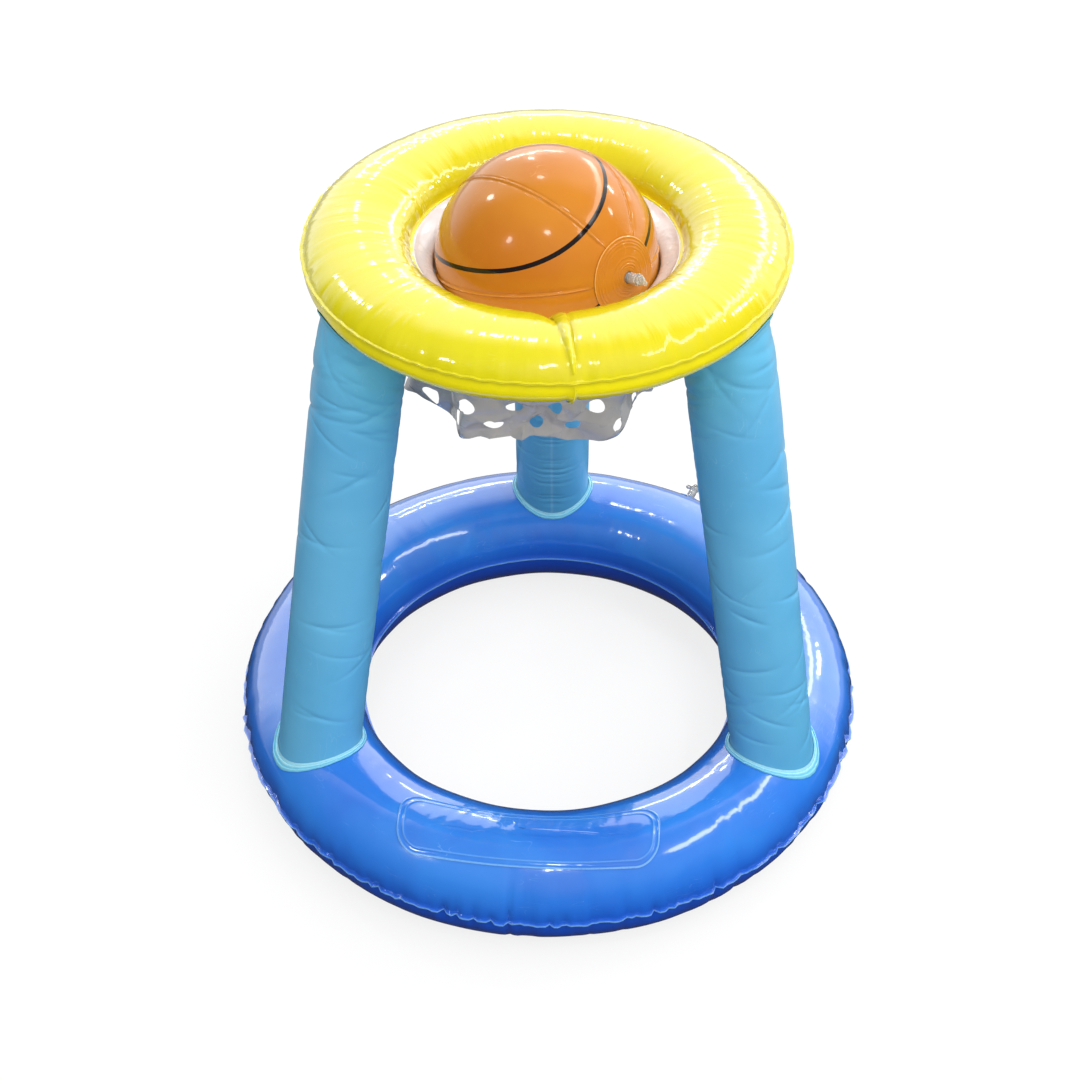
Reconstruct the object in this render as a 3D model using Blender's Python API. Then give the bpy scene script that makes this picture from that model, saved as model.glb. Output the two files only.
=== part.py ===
"""Floating basketball hoop, an inflatable pool toy welded from PVC film.

A base ring lies on the water and carries three inflated legs. They carry a flattened ring,
the hoop, and a punched film skirt hangs in it as the net. An inflated ball rests in the net.
Metres, +Z up. The origin is on the floor, on the common axis of the two rings.
Azimuths are counted from +X towards +Y, in degrees, and the front of the toy faces -Y.
"""

import math

import bmesh
import bpy
from mathutils import Matrix, Vector

# Film and fits

FILM = 0.0005
CLEARANCE = 0.0003
SEAT_LIFT = 0.0006
SEAM_LIP = 0.003
MERGE = 0.00001
CUT_OVERRUN = 0.004

# Base ring

BASE_OUTER_DIAMETER = 0.660
BASE_TUBE_WIDTH = 0.130
BASE_TUBE_HEIGHT = 0.115
BASE_FOOT_WIDTH = 0.036
BASE_SEGMENTS = 48
BASE_ARC_STEPS = 8
BASE_SIDE_STEPS = 3

# Front patch, laid on the crown of the base ring

PATCH_LENGTH = 0.256
PATCH_WIDTH = 0.063
PATCH_CORNER_RADIUS = 0.022
PATCH_BEND_RADIUS = 0.49
PATCH_CROWN_OFFSET = 0.003
PATCH_FILM = 0.0004
PATCH_AZIMUTH = -93.2
PATCH_COLUMNS = 14
PATCH_ROW_SHARES = (-1.0, -0.84, -0.55, -0.18, 0.18, 0.55, 0.84, 1.0)

# Hoop

HOOP_INNER_DIAMETER = 0.244
HOOP_TUBE_WIDTH = 0.098
HOOP_TUBE_HEIGHT = 0.062
HOOP_CROWN_HEIGHT = 0.648
HOOP_SEAM_ANGLE = 14.0
HOOP_SEGMENTS = 40
HOOP_ARC_STEPS = 7
HOOP_SIDE_STEPS = 3
CROSS_SEAM_AZIMUTH = -84.0
CROSS_SEAM_WIDTH = 0.0012
CROSS_SEAM_HEIGHT = 0.0025
CROSS_SEAM_END = 12.0
CROSS_SEAM_STEPS = 10

# Legs

LEG_DIAMETER = 0.084
LEG_FOOT_DEPTH = 0.084
LEG_HEAD_DEPTH = 0.068
LEG_HEAD_OUTSET = 0.007
LEG_SHOULDER = 0.075
LEG_FOOT_STRAIGHT = 0.05
LEG_SIDES = 24
LEG_AZIMUTHS = {"left": -150.0, "right": -30.0, "rear": 90.0}

# Weld collars. Their sections are shares of the collar's width, bead and height

FOOT_COLLAR_WIDTH = 0.008
FOOT_COLLAR_HEIGHT = 0.008
FOOT_COLLAR_BEAD = 0.0022
HEAD_COLLAR_WIDTH = 0.004
HEAD_COLLAR_HEIGHT = 0.005
HEAD_COLLAR_BEAD = 0.0012
FOOT_COLLAR_SHARES = (
    (0.0, 0.0, 0.0),
    (1.0, 0.0, 0.0),
    (0.95, 0.75, 0.0),
    (0.62, 0.35, 0.0),
    (0.3, 1.0, 0.0),
    (0.14, 0.0, 1.0),
    (0.0, 0.0, 1.0),
)
HEAD_COLLAR_SHARES = (
    (0.0, 0.0, 0.0),
    (1.0, 0.0, 0.0),
    (0.9, 0.9, 0.0),
    (0.25, 0.0, 1.0),
    (0.0, 0.0, 1.0),
)

# Net

NET_FILM = 0.0004
NET_LENGTH = 0.163
NET_TOP_MARGIN = 0.034
NET_HEM = 0.009
NET_HEM_INSET = 0.029
NET_FOLDS = 7
NET_FOLD_DEPTH = 0.018
NET_FOLD_START = 0.012
NET_WAVE = 0.002
NET_WAVES = 3
NET_HOLE_DIAMETER = 0.0175
NET_HOLE_SIDES = 8
NET_COLUMNS = 14
NET_ROWS = 4

# Ball

BALL_SIDE_GAP = 0.020
BALL_DROP = 0.015
BALL_POLE_AZIMUTH = -43.4
BALL_POLE_ELEVATION = 14.5
BALL_SEAM_PHASE = 23.4
BALL_GORES = 6
GORE_COLUMNS = 4
GORE_ROWS = 12
GORE_END_ANGLE = 15.0
CAP_ANGLE = 20.0
CAP_BOSS_RADIUS = 0.012
CAP_BOSS_RISE = 0.0008
CAP_RISE_WIDTH = 0.002
CAP_SIDES = 24
CAP_STEPS = 2

# Valves

STEM_RADIUS = 0.0046
STEM_BORE_RADIUS = 0.0032
STEM_REACH = 0.014
STEM_LIP_RADIUS = 0.0056
STEM_LIP_HEIGHT = 0.0016
STEM_FLANGE_RADIUS = 0.0075
STEM_FLANGE_THICKNESS = 0.0008
STEM_FLANGE_DEPTH = 0.0036
STEM_TAIL = 0.003
PLUG_DEPTH = 0.006
PLUG_HEAD_RADIUS = 0.0046
PLUG_HEAD_THICKNESS = 0.0018
PLUG_KNOB_RADIUS = 0.0032
PLUG_KNOB_HEIGHT = 0.004
PLUG_KNOB_SHARES = ((0.0, 1.0), (0.7, 0.85), (1.0, 0.45), (0.7, 0.0))
TETHER_REACH = 0.0105
TETHER_WIDTH = 0.003
TETHER_THICKNESS = 0.001
TETHER_PHASE = 225.0
TETHER_BEND_SHARE = 0.8
TETHER_SWELL_SHARE = 0.6
FLAP_RADIUS = 0.0044
FLAP_THICKNESS = 0.0006
VALVE_SIDES = 12
VALVE_DISC_RADIUS = 0.013
VALVE_DISC_FILM = 0.0008
VALVE_DISC_SIDES = 16
VALVE_HOLE_RADIUS = STEM_RADIUS + 2 * CLEARANCE
BASE_VALVE_AZIMUTH = 60.0
BASE_VALVE_ANGLE = 25.0
HOOP_VALVE_AZIMUTH = 30.0
HOOP_VALVE_ANGLE = -70.0

SHARP_ANGLE = math.radians(40)
FULL_TURN = 2 * math.pi
UP = Vector((0, 0, 1))

# Colour, roughness and metallic value of each material

FINISHES = {
    "base_blue": ((0.05, 0.22, 0.80, 1), 0.18, 0.0),
    "leg_blue": ((0.13, 0.45, 0.68, 1), 0.38, 0.0),
    "collar_blue": ((0.25, 0.68, 0.82, 1), 0.3, 0.0),
    "hoop_yellow": ((0.92, 0.86, 0.02, 1), 0.2, 0.0),
    "net_white": ((0.72, 0.70, 0.72, 1), 0.45, 0.0),
    "ball_orange": ((0.72, 0.24, 0.04, 1), 0.2, 0.0),
    "clear_vinyl": ((0.80, 0.78, 0.70, 1), 0.15, 0.0),
}


def clear_scene():
    """Removes whatever the scene holds."""
    for obj in list(bpy.data.objects):
        bpy.data.objects.remove(obj, do_unlink=True)


def make_material(name):
    """A Principled material with the finish of that name."""
    colour, roughness, metallic = FINISHES[name]
    material = bpy.data.materials.new(name)
    material.use_nodes = True
    shader = material.node_tree.nodes["Principled BSDF"]
    shader.inputs["Base Color"].default_value = colour
    shader.inputs["Roughness"].default_value = roughness
    shader.inputs["Metallic"].default_value = metallic
    material.diffuse_color = colour
    return material


def spread(first, last, steps):
    """Evenly spaced values from first to last, both included."""
    return [first + (last - first) * step / steps for step in range(steps + 1)]


def around(count, phase=0.0):
    """The angles of that many even steps round a circle."""
    return [phase + FULL_TURN * step / count for step in range(count)]


def direction(azimuth):
    """The level unit vector at an azimuth in radians."""
    return Vector((math.cos(azimuth), math.sin(azimuth), 0))


def frame_at(origin, z_axis, x_axis):
    """The matrix of a frame with this origin, Z axis and, as nearly as it can be, X axis."""
    z_axis = z_axis.normalized()
    y_axis = z_axis.cross(x_axis).normalized()
    matrix = Matrix((y_axis.cross(z_axis), y_axis, z_axis)).transposed().to_4x4()
    matrix.translation = origin
    return matrix


class Ring:
    """An inflated ring round the Z axis, whose tube has an elliptical section."""

    def __init__(
        self, outer_diameter, tube_width, tube_height, crown_height, foot_width=0.0, seam_angle=0.0
    ):
        self.half_width = tube_width / 2
        self.radius = outer_diameter / 2 - self.half_width
        cut_share = math.sqrt(1 - (foot_width / tube_width) ** 2)
        self.half_height = tube_height / (1 + cut_share)
        self.mid = crown_height - self.half_height
        self.foot_angle = math.asin(cut_share)
        self.seam_angle = math.radians(seam_angle)

    def section(self, angle, lift=0.0):
        """Radius and height at an angle from the tube's outermost point, lifted off the skin."""
        out = Vector((math.cos(angle) / self.half_width, math.sin(angle) / self.half_height))
        out.normalize()
        radius = self.radius + self.half_width * math.cos(angle) + lift * out.x
        return radius, self.mid + self.half_height * math.sin(angle) + lift * out.y

    def point(self, azimuth, angle, lift=0.0):
        """The point of the skin at an azimuth and a section angle."""
        radius, height = self.section(angle, lift)
        return direction(azimuth) * radius + UP * height

    def normal(self, azimuth, angle):
        """The direction in which the skin faces there."""
        return (self.point(azimuth, angle, self.half_width) - self.point(azimuth, angle)).normalized()

    def middle(self, point):
        """The point of the tube's centre line that is nearest to a point."""
        flat = Vector((point.x, point.y, 0)).normalized()
        return flat * self.radius + UP * self.mid

    def holds(self, point, lift):
        """Whether a point is inside the tube when its skin is grown by lift."""
        across = math.hypot(point.x, point.y) - self.radius
        up = point.z - self.mid
        return (across / (self.half_width + lift)) ** 2 + (up / (self.half_height + lift)) ** 2 < 1

    def meet(self, start, end, lift):
        """Where the line from start, outside, to end, inside, meets the grown skin."""
        outside, inside = start, end
        while (outside - inside).length > MERGE:
            half = (outside + inside) / 2
            if self.holds(half, lift):
                inside = half
            else:
                outside = half
        return outside


BASE = Ring(BASE_OUTER_DIAMETER, BASE_TUBE_WIDTH, BASE_TUBE_HEIGHT, BASE_TUBE_HEIGHT, BASE_FOOT_WIDTH)
HOOP = Ring(
    HOOP_INNER_DIAMETER + 2 * HOOP_TUBE_WIDTH,
    HOOP_TUBE_WIDTH,
    HOOP_TUBE_HEIGHT,
    HOOP_CROWN_HEIGHT,
    seam_angle=HOOP_SEAM_ANGLE,
)

# The skirt's film lies between the two lips of the hoop's inner seam
NET_SEAM_GAP = NET_FILM + 2 * CLEARANCE

BALL_RADIUS = HOOP.radius - HOOP.half_width - BALL_SIDE_GAP
CAP_TOP_RADIUS = BALL_RADIUS + CLEARANCE + FILM
BALL_CENTRE = UP * (HOOP.mid - BALL_DROP)


def add_object(name, bm, material, frame=None, parent=None):
    """Makes an object from a bmesh, smooth but for its sharp edges, and frees the bmesh."""
    mesh = bpy.data.meshes.new(name)
    bm.normal_update()
    bm.to_mesh(mesh)
    bm.free()
    mesh.shade_smooth()
    mesh.set_sharp_from_angle(angle=SHARP_ANGLE)
    mesh.materials.append(material)
    return place_mesh(name, mesh, frame, parent)


def place_mesh(name, mesh, frame=None, parent=None):
    """An object that shows a mesh at a frame, under a parent."""
    obj = bpy.data.objects.new(name, mesh)
    bpy.context.scene.collection.objects.link(obj)
    obj.parent = parent
    if frame is not None:
        obj.matrix_local = frame
    return obj


def add_empty(name, frame, parent=None):
    """An empty that carries the pieces of one frame."""
    empty = place_mesh(name, None, frame, parent)
    empty.empty_display_size = BALL_RADIUS
    return empty


def thicken(obj, film, offset=-1.0):
    """Gives a sheet its thickness: inwards, or to both sides where the offset is 0."""
    wall = obj.modifiers.new("film", "SOLIDIFY")
    wall.thickness = film
    wall.offset = offset
    wall.use_even_offset = True


def cut_hole(obj, cutter):
    """Subtracts a helper object, which stays out of the model."""
    hole = obj.modifiers.new("hole", "BOOLEAN")
    hole.operation = "DIFFERENCE"
    hole.object = cutter
    hide_helper(cutter)


def hide_helper(obj):
    """Keeps a cutter out of the model."""
    obj.hide_render = True
    obj.display_type = "WIRE"


def turned(profile, sides, closed=False):
    """A bmesh of (radius, height) points turned once round the Z axis."""
    bm = bmesh.new()
    verts = [bm.verts.new((radius, 0, height)) for radius, height in profile]
    ends = verts[1:] + verts[:1] if closed else verts[1:]
    edges = [bm.edges.new(pair) for pair in zip(verts, ends)]
    bmesh.ops.spin(
        bm, geom=verts + edges, cent=(0, 0, 0), axis=UP, angle=FULL_TURN, steps=sides, use_merge=True
    )
    bmesh.ops.remove_doubles(bm, verts=bm.verts, dist=MERGE)
    return bm


def turned_solid(profile, sides, closed=False):
    """The same, as a closed body that faces outwards."""
    bm = turned(profile, sides, closed)
    bmesh.ops.recalc_face_normals(bm, faces=bm.faces)
    return bm


def bridged(loops, closed_path=False):
    """A bmesh of closed loops joined in order: to a ring, or to a bar with ends."""
    bm = bmesh.new()
    rows = [[bm.verts.new(point) for point in loop] for loop in loops]
    following = rows[1:] + rows[:1] if closed_path else rows[1:]
    for row, after in zip(rows, following):
        for place, vert in enumerate(row):
            before = place - 1
            bm.faces.new((row[before], vert, after[place], after[before]))
    if not closed_path:
        bm.faces.new(rows[0])
        bm.faces.new(rows[-1])
    bmesh.ops.recalc_face_normals(bm, faces=bm.faces)
    return bm


def sheet_of(rows, wraps=False):
    """A bmesh of rows of points joined to a sheet, whose rows may close on themselves."""
    bm = bmesh.new()
    grid = [[bm.verts.new(point) for point in row] for row in rows]
    first = 0 if wraps else 1
    for row, after in zip(grid, grid[1:]):
        for place in range(first, len(row)):
            bm.faces.new((row[place - 1], row[place], after[place], after[place - 1]))
    return bm


def face_away(bm, middle_of):
    """Turns a sheet's faces away from the middle that middle_of gives for a point."""
    bm.normal_update()
    looks = 0
    for face in bm.faces:
        centre = face.calc_center_median()
        looks += face.normal.dot(centre - middle_of(centre)) * face.calc_area()
    if looks < 0:
        bmesh.ops.reverse_faces(bm, faces=bm.faces)
    return bm


def seam_fold(ring, seam_angle, gap, side):
    """The section angle at which a skin, above the seam for 1, turns into its seam lip."""
    return math.asin(math.sin(seam_angle) + side * (gap / 2 + FILM) / ring.half_height)


def lip_end(ring, side, height):
    """The free edge of a seam lip, on the outer side for 1 and the inner side for -1."""
    return ring.radius + side * (ring.half_width + SEAM_LIP), height


def upper_profile(ring, steps, inner_gap):
    """From the inner seam lip over the crown to the outer one."""
    inner = math.pi - seam_fold(ring, 0, inner_gap, 1)
    outer = seam_fold(ring, ring.seam_angle, CLEARANCE, 1)
    arc = [ring.section(angle) for angle in spread(inner, outer, steps)]
    return [lip_end(ring, -1, arc[0][1]), *arc, lip_end(ring, 1, arc[-1][1])]


def lower_profile(ring, side_steps, inner_gap):
    """From the outer seam lip under the ring, flat where it rests, to the inner one."""
    outer = seam_fold(ring, ring.seam_angle, CLEARANCE, -1)
    inner = math.pi - seam_fold(ring, 0, inner_gap, 1)
    angles = spread(outer, -ring.foot_angle, side_steps)
    if ring.foot_angle < math.pi / 2:
        angles += spread(ring.foot_angle - math.pi, -inner, side_steps)
    else:
        angles += spread(-ring.foot_angle, -inner, side_steps)[1:]
    arc = [ring.section(angle) for angle in angles]
    return [lip_end(ring, 1, arc[0][1]), *arc, lip_end(ring, -1, arc[-1][1])]


def add_skin(name, ring, profile, sides, material):
    """One half of an inflated ring's skin."""
    skin = add_object(name, face_away(turned(profile, sides), ring.middle), material)
    thicken(skin, FILM)
    return skin


def patch_point(along, across):
    """A point of the front patch: along its length, and outwards across its width."""
    out = direction(math.radians(PATCH_AZIMUTH))
    side = direction(math.radians(PATCH_AZIMUTH) + math.pi / 2)
    reach = BASE.radius + PATCH_CROWN_OFFSET + across - along**2 / (2 * PATCH_BEND_RADIUS)
    flat = out * reach + side * along
    angle = math.acos((flat.length - BASE.radius) / BASE.half_width)
    return BASE.point(math.atan2(flat.y, flat.x), angle, SEAT_LIFT + PATCH_FILM)


def add_front_patch(material):
    """A rounded rectangle of film, welded over the crown of the base ring."""
    half_length = PATCH_LENGTH / 2
    half_width = PATCH_WIDTH / 2
    rows = []
    for share in PATCH_ROW_SHARES:
        across = share * half_width
        into_corner = max(0, abs(across) - (half_width - PATCH_CORNER_RADIUS))
        shortened = PATCH_CORNER_RADIUS - math.sqrt(PATCH_CORNER_RADIUS**2 - into_corner**2)
        reach = half_length - shortened
        rows.append([patch_point(along, across) for along in spread(-reach, reach, PATCH_COLUMNS)])
    patch = add_object("base_front_patch", face_away(sheet_of(rows), BASE.middle), material)
    thicken(patch, PATCH_FILM)


def add_cross_seams(material):
    """The two gathered welds that join the ends of the hoop's skins, as raised strips."""
    azimuth = math.radians(CROSS_SEAM_AZIMUTH)
    half_turn = CROSS_SEAM_WIDTH / 2 / HOOP.radius
    low = SEAT_LIFT
    high = SEAT_LIFT + CROSS_SEAM_HEIGHT
    start = math.radians(CROSS_SEAM_END)
    for name, side in (("upper", 1), ("lower", -1)):
        loops = []
        outer = HOOP.seam_angle + side * start
        for angle in spread(outer, side * (math.pi - start), CROSS_SEAM_STEPS):
            corners = ((-1, low), (1, low), (1, high), (-1, high))
            loops.append([HOOP.point(azimuth + turn * half_turn, angle, lift) for turn, lift in corners])
        add_object(f"hoop_cross_seam_{name}", bridged(loops), material)


class Leg:
    """One inflated leg: a round tube with its own depth at each end, narrower under the hoop."""

    def __init__(self, azimuth):
        self.out = direction(azimuth)
        self.side = direction(azimuth + math.pi / 2)
        self.foot = self.out * BASE.radius + UP * BASE_TUBE_HEIGHT
        self.head = self.out * (HOOP.radius + LEG_HEAD_OUTSET) + UP * HOOP.mid
        self.axis = (self.head - self.foot).normalized()
        self.front = self.side.cross(self.axis)

    def centre(self, height):
        """The point of the leg's axis at a height."""
        share = (height - self.foot.z) / (self.head.z - self.foot.z)
        return self.foot.lerp(self.head, share)

    def skin(self, centre, turn, depth, extra):
        """A point of the tube's section at a centre, whose depth is its radial size."""
        front = self.front * (math.cos(turn) * (depth / 2 + extra))
        return centre + front + self.side * (math.sin(turn) * (LEG_DIAMETER / 2 + extra))

    def foot_point(self, turn, extra, lift):
        """Where the tube, grown by extra, meets the base ring, grown by lift."""
        start = self.skin(self.foot + self.axis * LEG_FOOT_STRAIGHT, turn, LEG_DIAMETER, extra)
        end = self.skin(self.centre(BASE.mid), turn, LEG_FOOT_DEPTH, extra)
        return BASE.meet(start, end, lift)

    def head_point(self, turn, extra, lift):
        """Where the tube, grown by extra, meets the hoop, grown by lift."""
        start = self.skin(self.head - self.axis * LEG_SHOULDER, turn, LEG_DIAMETER, extra)
        end = self.skin(self.head, turn, LEG_HEAD_DEPTH, extra)
        return HOOP.meet(start, end, lift)

    def middle(self, point):
        """The point of the axis at a point's height."""
        return self.centre(point.z)

    def tube(self):
        """The sheet of the leg, from the base ring to the hoop."""
        lift = SEAT_LIFT + FILM
        foot_straight = self.foot + self.axis * LEG_FOOT_STRAIGHT
        shoulder = self.head - self.axis * LEG_SHOULDER
        turns = around(LEG_SIDES)
        rows = [[self.foot_point(turn, 0, lift) for turn in turns]]
        for centre in (foot_straight, (foot_straight + shoulder) / 2, shoulder):
            rows.append([self.skin(centre, turn, LEG_DIAMETER, 0) for turn in turns])
        rows.append([self.head_point(turn, 0, lift) for turn in turns])
        return face_away(sheet_of(rows, wraps=True), self.middle)

    def collar(self, meeting, section_shares, width, height, bead):
        """A beaded collar round the leg where it meets a ring."""
        loops = []
        for turn in around(LEG_SIDES):
            loop = []
            for width_share, bead_share, height_share in section_shares:
                extra = CLEARANCE + width_share * width
                lift = SEAT_LIFT + bead_share * bead + height_share * height
                loop.append(meeting(turn, extra, lift))
            loops.append(loop)
        return bridged(loops, closed_path=True)


def add_legs(leg_material, collar_material):
    """The three legs, each with its collar on the base ring and its collar under the hoop."""
    for name, azimuth in LEG_AZIMUTHS.items():
        leg = Leg(math.radians(azimuth))
        tube = add_object(f"leg_{name}", leg.tube(), leg_material)
        thicken(tube, FILM)
        foot_sizes = (FOOT_COLLAR_WIDTH, FOOT_COLLAR_HEIGHT, FOOT_COLLAR_BEAD)
        foot = leg.collar(leg.foot_point, FOOT_COLLAR_SHARES, *foot_sizes)
        add_object(f"foot_collar_{name}", foot, collar_material)
        head_sizes = (HEAD_COLLAR_WIDTH, HEAD_COLLAR_HEIGHT, HEAD_COLLAR_BEAD)
        head = leg.collar(leg.head_point, HEAD_COLLAR_SHARES, *head_sizes)
        add_object(f"head_collar_{name}", head, collar_material)


class Net:
    """The punched film skirt. Its folds are deepest at the hem, and its valleys seat the ball."""

    def __init__(self):
        self.top = Vector((HOOP.radius - HOOP.half_width - SEAM_LIP - CLEARANCE - NET_FILM / 2, HOOP.mid))
        seat_radius = CAP_TOP_RADIUS + CLEARANCE + NET_FILM / 2
        reach = self.top - Vector((0, BALL_CENTRE.z))
        turn = math.atan2(reach.y, reach.x) - math.acos(seat_radius / reach.length)
        self.seat = Vector((math.cos(turn) * seat_radius, BALL_CENTRE.z + math.sin(turn) * seat_radius))
        self.seat_depth = (self.seat - self.top).length
        hem_radius = BALL_RADIUS - NET_HEM_INSET
        drop = math.sqrt((NET_LENGTH - self.seat_depth) ** 2 - (self.seat.x - hem_radius) ** 2)
        self.hem = Vector((hem_radius, self.seat.y - drop))

    def valley(self, depth):
        """Radius and height of a valley line, at a depth along the film from the seam."""
        if depth < self.seat_depth:
            return self.top.lerp(self.seat, depth / self.seat_depth)
        share = (depth - self.seat_depth) / (NET_LENGTH - self.seat_depth)
        return self.seat.lerp(self.hem, share)

    def point(self, turn, depth):
        """The film's point at a turn, counted in hole columns, and a depth."""
        azimuth = turn * FULL_TURN / NET_COLUMNS
        radius, height = self.valley(depth)
        share = max(0, (depth - NET_FOLD_START) / (NET_LENGTH - NET_FOLD_START))
        below = max(0, (depth - self.seat_depth) / (NET_LENGTH - self.seat_depth))
        fold = NET_FOLD_DEPTH * share * (1 + math.cos(azimuth * NET_FOLDS)) / 2
        wave = NET_WAVE * below * math.cos(azimuth * NET_WAVES)
        return direction(azimuth) * (radius + fold + wave) + UP * (height - wave)

    def hole(self, bm, turn, depth):
        """The vertices of one punched hole, with their angles round its centre."""
        found = []
        column = FULL_TURN * self.valley(depth).x / NET_COLUMNS
        for angle in around(NET_HOLE_SIDES, math.pi / NET_HOLE_SIDES):
            across = math.cos(angle) * NET_HOLE_DIAMETER / 2 / column
            along = math.sin(angle) * NET_HOLE_DIAMETER / 2
            found.append((angle, bm.verts.new(self.point(turn + across, depth + along))))
        return found

    def sheet(self):
        """The whole skirt as one sheet with staggered holes."""
        bm = bmesh.new()
        steps = 2 * NET_COLUMNS
        pitch = (NET_LENGTH - NET_TOP_MARGIN - NET_HEM) / NET_ROWS
        lines = [0, NET_TOP_MARGIN / 2]
        lines += [NET_TOP_MARGIN + row * pitch for row in range(NET_ROWS + 1)]
        lines.append(NET_LENGTH)
        flange = self.top.x + SEAM_LIP
        grid = [[bm.verts.new(direction(turn) * flange + UP * HOOP.mid) for turn in around(steps)]]
        for depth in lines:
            grid.append([bm.verts.new(self.point(step / 2, depth)) for step in range(steps)])
        first_row = len(grid) - NET_ROWS - 2
        for line in [*range(first_row), len(grid) - 2]:
            upper, lower = grid[line], grid[line + 1]
            for step in range(steps):
                bm.faces.new((upper[step - 1], upper[step], lower[step], lower[step - 1]))
        for row in range(NET_ROWS):
            depth = NET_TOP_MARGIN + (row + 0.5) * pitch
            for column in range(NET_COLUMNS):
                left = 2 * column + row % 2
                cell_border = self.border(grid[first_row + row], grid[first_row + row + 1], left, pitch)
                fill_between(bm, cell_border, self.hole(bm, left / 2 + 0.5, depth))
        bmesh.ops.recalc_face_normals(bm, faces=bm.faces)
        return bm

    def border(self, upper, lower, left, pitch):
        """A cell's six border vertices, with their angles round its centre."""
        half = FULL_TURN * self.seat.x / NET_COLUMNS / 2
        places = [(1, 0, lower), (1, 1, lower), (1, 2, lower), (-1, 2, upper), (-1, 1, upper), (-1, 0, upper)]
        found = []
        for side, step, line in places:
            angle = math.atan2(side * pitch / 2, (step - 1) * half)
            found.append((angle % FULL_TURN, line[(left + step) % len(line)]))
        return sorted(found, key=lambda pair: pair[0])


def fill_between(bm, outer, inner):
    """Fills the space between two loops of (angle, vertex), both in order of their angles."""
    at_outer = 0
    at_inner = 0
    while at_outer < len(outer) or at_inner < len(inner):
        outer_turns, outer_place = divmod(at_outer + 1, len(outer))
        inner_turns, inner_place = divmod(at_inner + 1, len(inner))
        outer_angle = outer[outer_place][0] + outer_turns * FULL_TURN
        inner_angle = inner[inner_place][0] + inner_turns * FULL_TURN
        outer_now = outer[at_outer % len(outer)][1]
        inner_now = inner[at_inner % len(inner)][1]
        step_outer = at_outer < len(outer) and (outer_angle <= inner_angle or at_inner == len(inner))
        if step_outer:
            bm.faces.new((outer_now, outer[outer_place][1], inner_now))
            at_outer += 1
        else:
            bm.faces.new((outer_now, inner[inner_place][1], inner_now))
            at_inner += 1


def sphere_point(radius, polar, phase):
    """A point of a sphere round the origin, by its angle from +Z and its phase round it."""
    level = radius * math.sin(polar)
    return Vector((level * math.cos(phase), level * math.sin(phase), radius * math.cos(polar)))


def gore_sheet():
    """One gore, from seam to seam and from under one cap to under the other."""
    half = math.pi / BALL_GORES
    end = math.radians(GORE_END_ANGLE)
    rows = []
    for polar in spread(end, math.pi - end, GORE_ROWS):
        reach = half - CLEARANCE / 2 / (BALL_RADIUS * math.sin(polar))
        phases = spread(-half, half, GORE_COLUMNS)
        phases = [max(-reach, min(reach, phase)) for phase in phases]
        rows.append([sphere_point(BALL_RADIUS, polar, phase) for phase in phases])
    return face_away(sheet_of(rows), lambda point: Vector())


def cap_profile(bore_radius):
    """The outer side of a cap's section, from its bore to its rim, with a boss round the bore."""
    rim = math.radians(CAP_ANGLE)
    boss = CAP_BOSS_RADIUS / BALL_RADIUS
    slope_end = (CAP_BOSS_RADIUS + CAP_RISE_WIDTH) / BALL_RADIUS
    top = CAP_TOP_RADIUS
    places = [(bore_radius / BALL_RADIUS, CAP_BOSS_RISE), (boss, CAP_BOSS_RISE)]
    places += [(angle, 0) for angle in spread(slope_end, rim, CAP_STEPS)]
    return [(math.sin(angle) * (top + rise), math.cos(angle) * (top + rise)) for angle, rise in places]


def far_cap_profile():
    """The same for the cap without a valve, from the axis to its rim."""
    rim = math.radians(CAP_ANGLE)
    top = CAP_TOP_RADIUS
    return [(math.sin(angle) * top, math.cos(angle) * top) for angle in spread(0, rim, CAP_STEPS + 1)]


def add_ball(material, valve_material):
    """The ball round its centre, with its poles along the local Z axis, and its valve."""
    azimuth = math.radians(BALL_POLE_AZIMUTH)
    elevation = math.radians(BALL_POLE_ELEVATION)
    pole = direction(azimuth) * math.cos(elevation) + UP * math.sin(elevation)
    frame = add_empty("ball_frame", frame_at(BALL_CENTRE, pole, UP))
    mesh = None
    for number in range(BALL_GORES):
        phase = math.radians(BALL_SEAM_PHASE) + (number + 0.5) * FULL_TURN / BALL_GORES
        place = Matrix.Rotation(phase, 4, "Z")
        name = f"ball_gore_{number + 1}"
        if mesh is None:
            gore = add_object(name, gore_sheet(), material, place, frame)
            mesh = gore.data
        else:
            gore = place_mesh(name, mesh, place, frame)
        thicken(gore, FILM)
    turn = Matrix.Rotation(math.radians(BALL_SEAM_PHASE), 4, "Z")
    over = Matrix.Rotation(math.pi, 4, "X")
    for name, profile, place in (
        ("ball_valve_cap", cap_profile(VALVE_HOLE_RADIUS), turn),
        ("ball_far_cap", far_cap_profile(), turn @ over),
    ):
        sheet = face_away(turned(profile, CAP_SIDES), lambda point: Vector())
        thicken(add_object(name, sheet, material, place, frame), FILM)
    lift = Matrix.Translation((0, 0, BALL_RADIUS))
    tether = Matrix.Rotation(math.radians(TETHER_PHASE), 4, "Z")
    add_valve("ball", lift @ tether, frame, valve_material)


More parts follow.
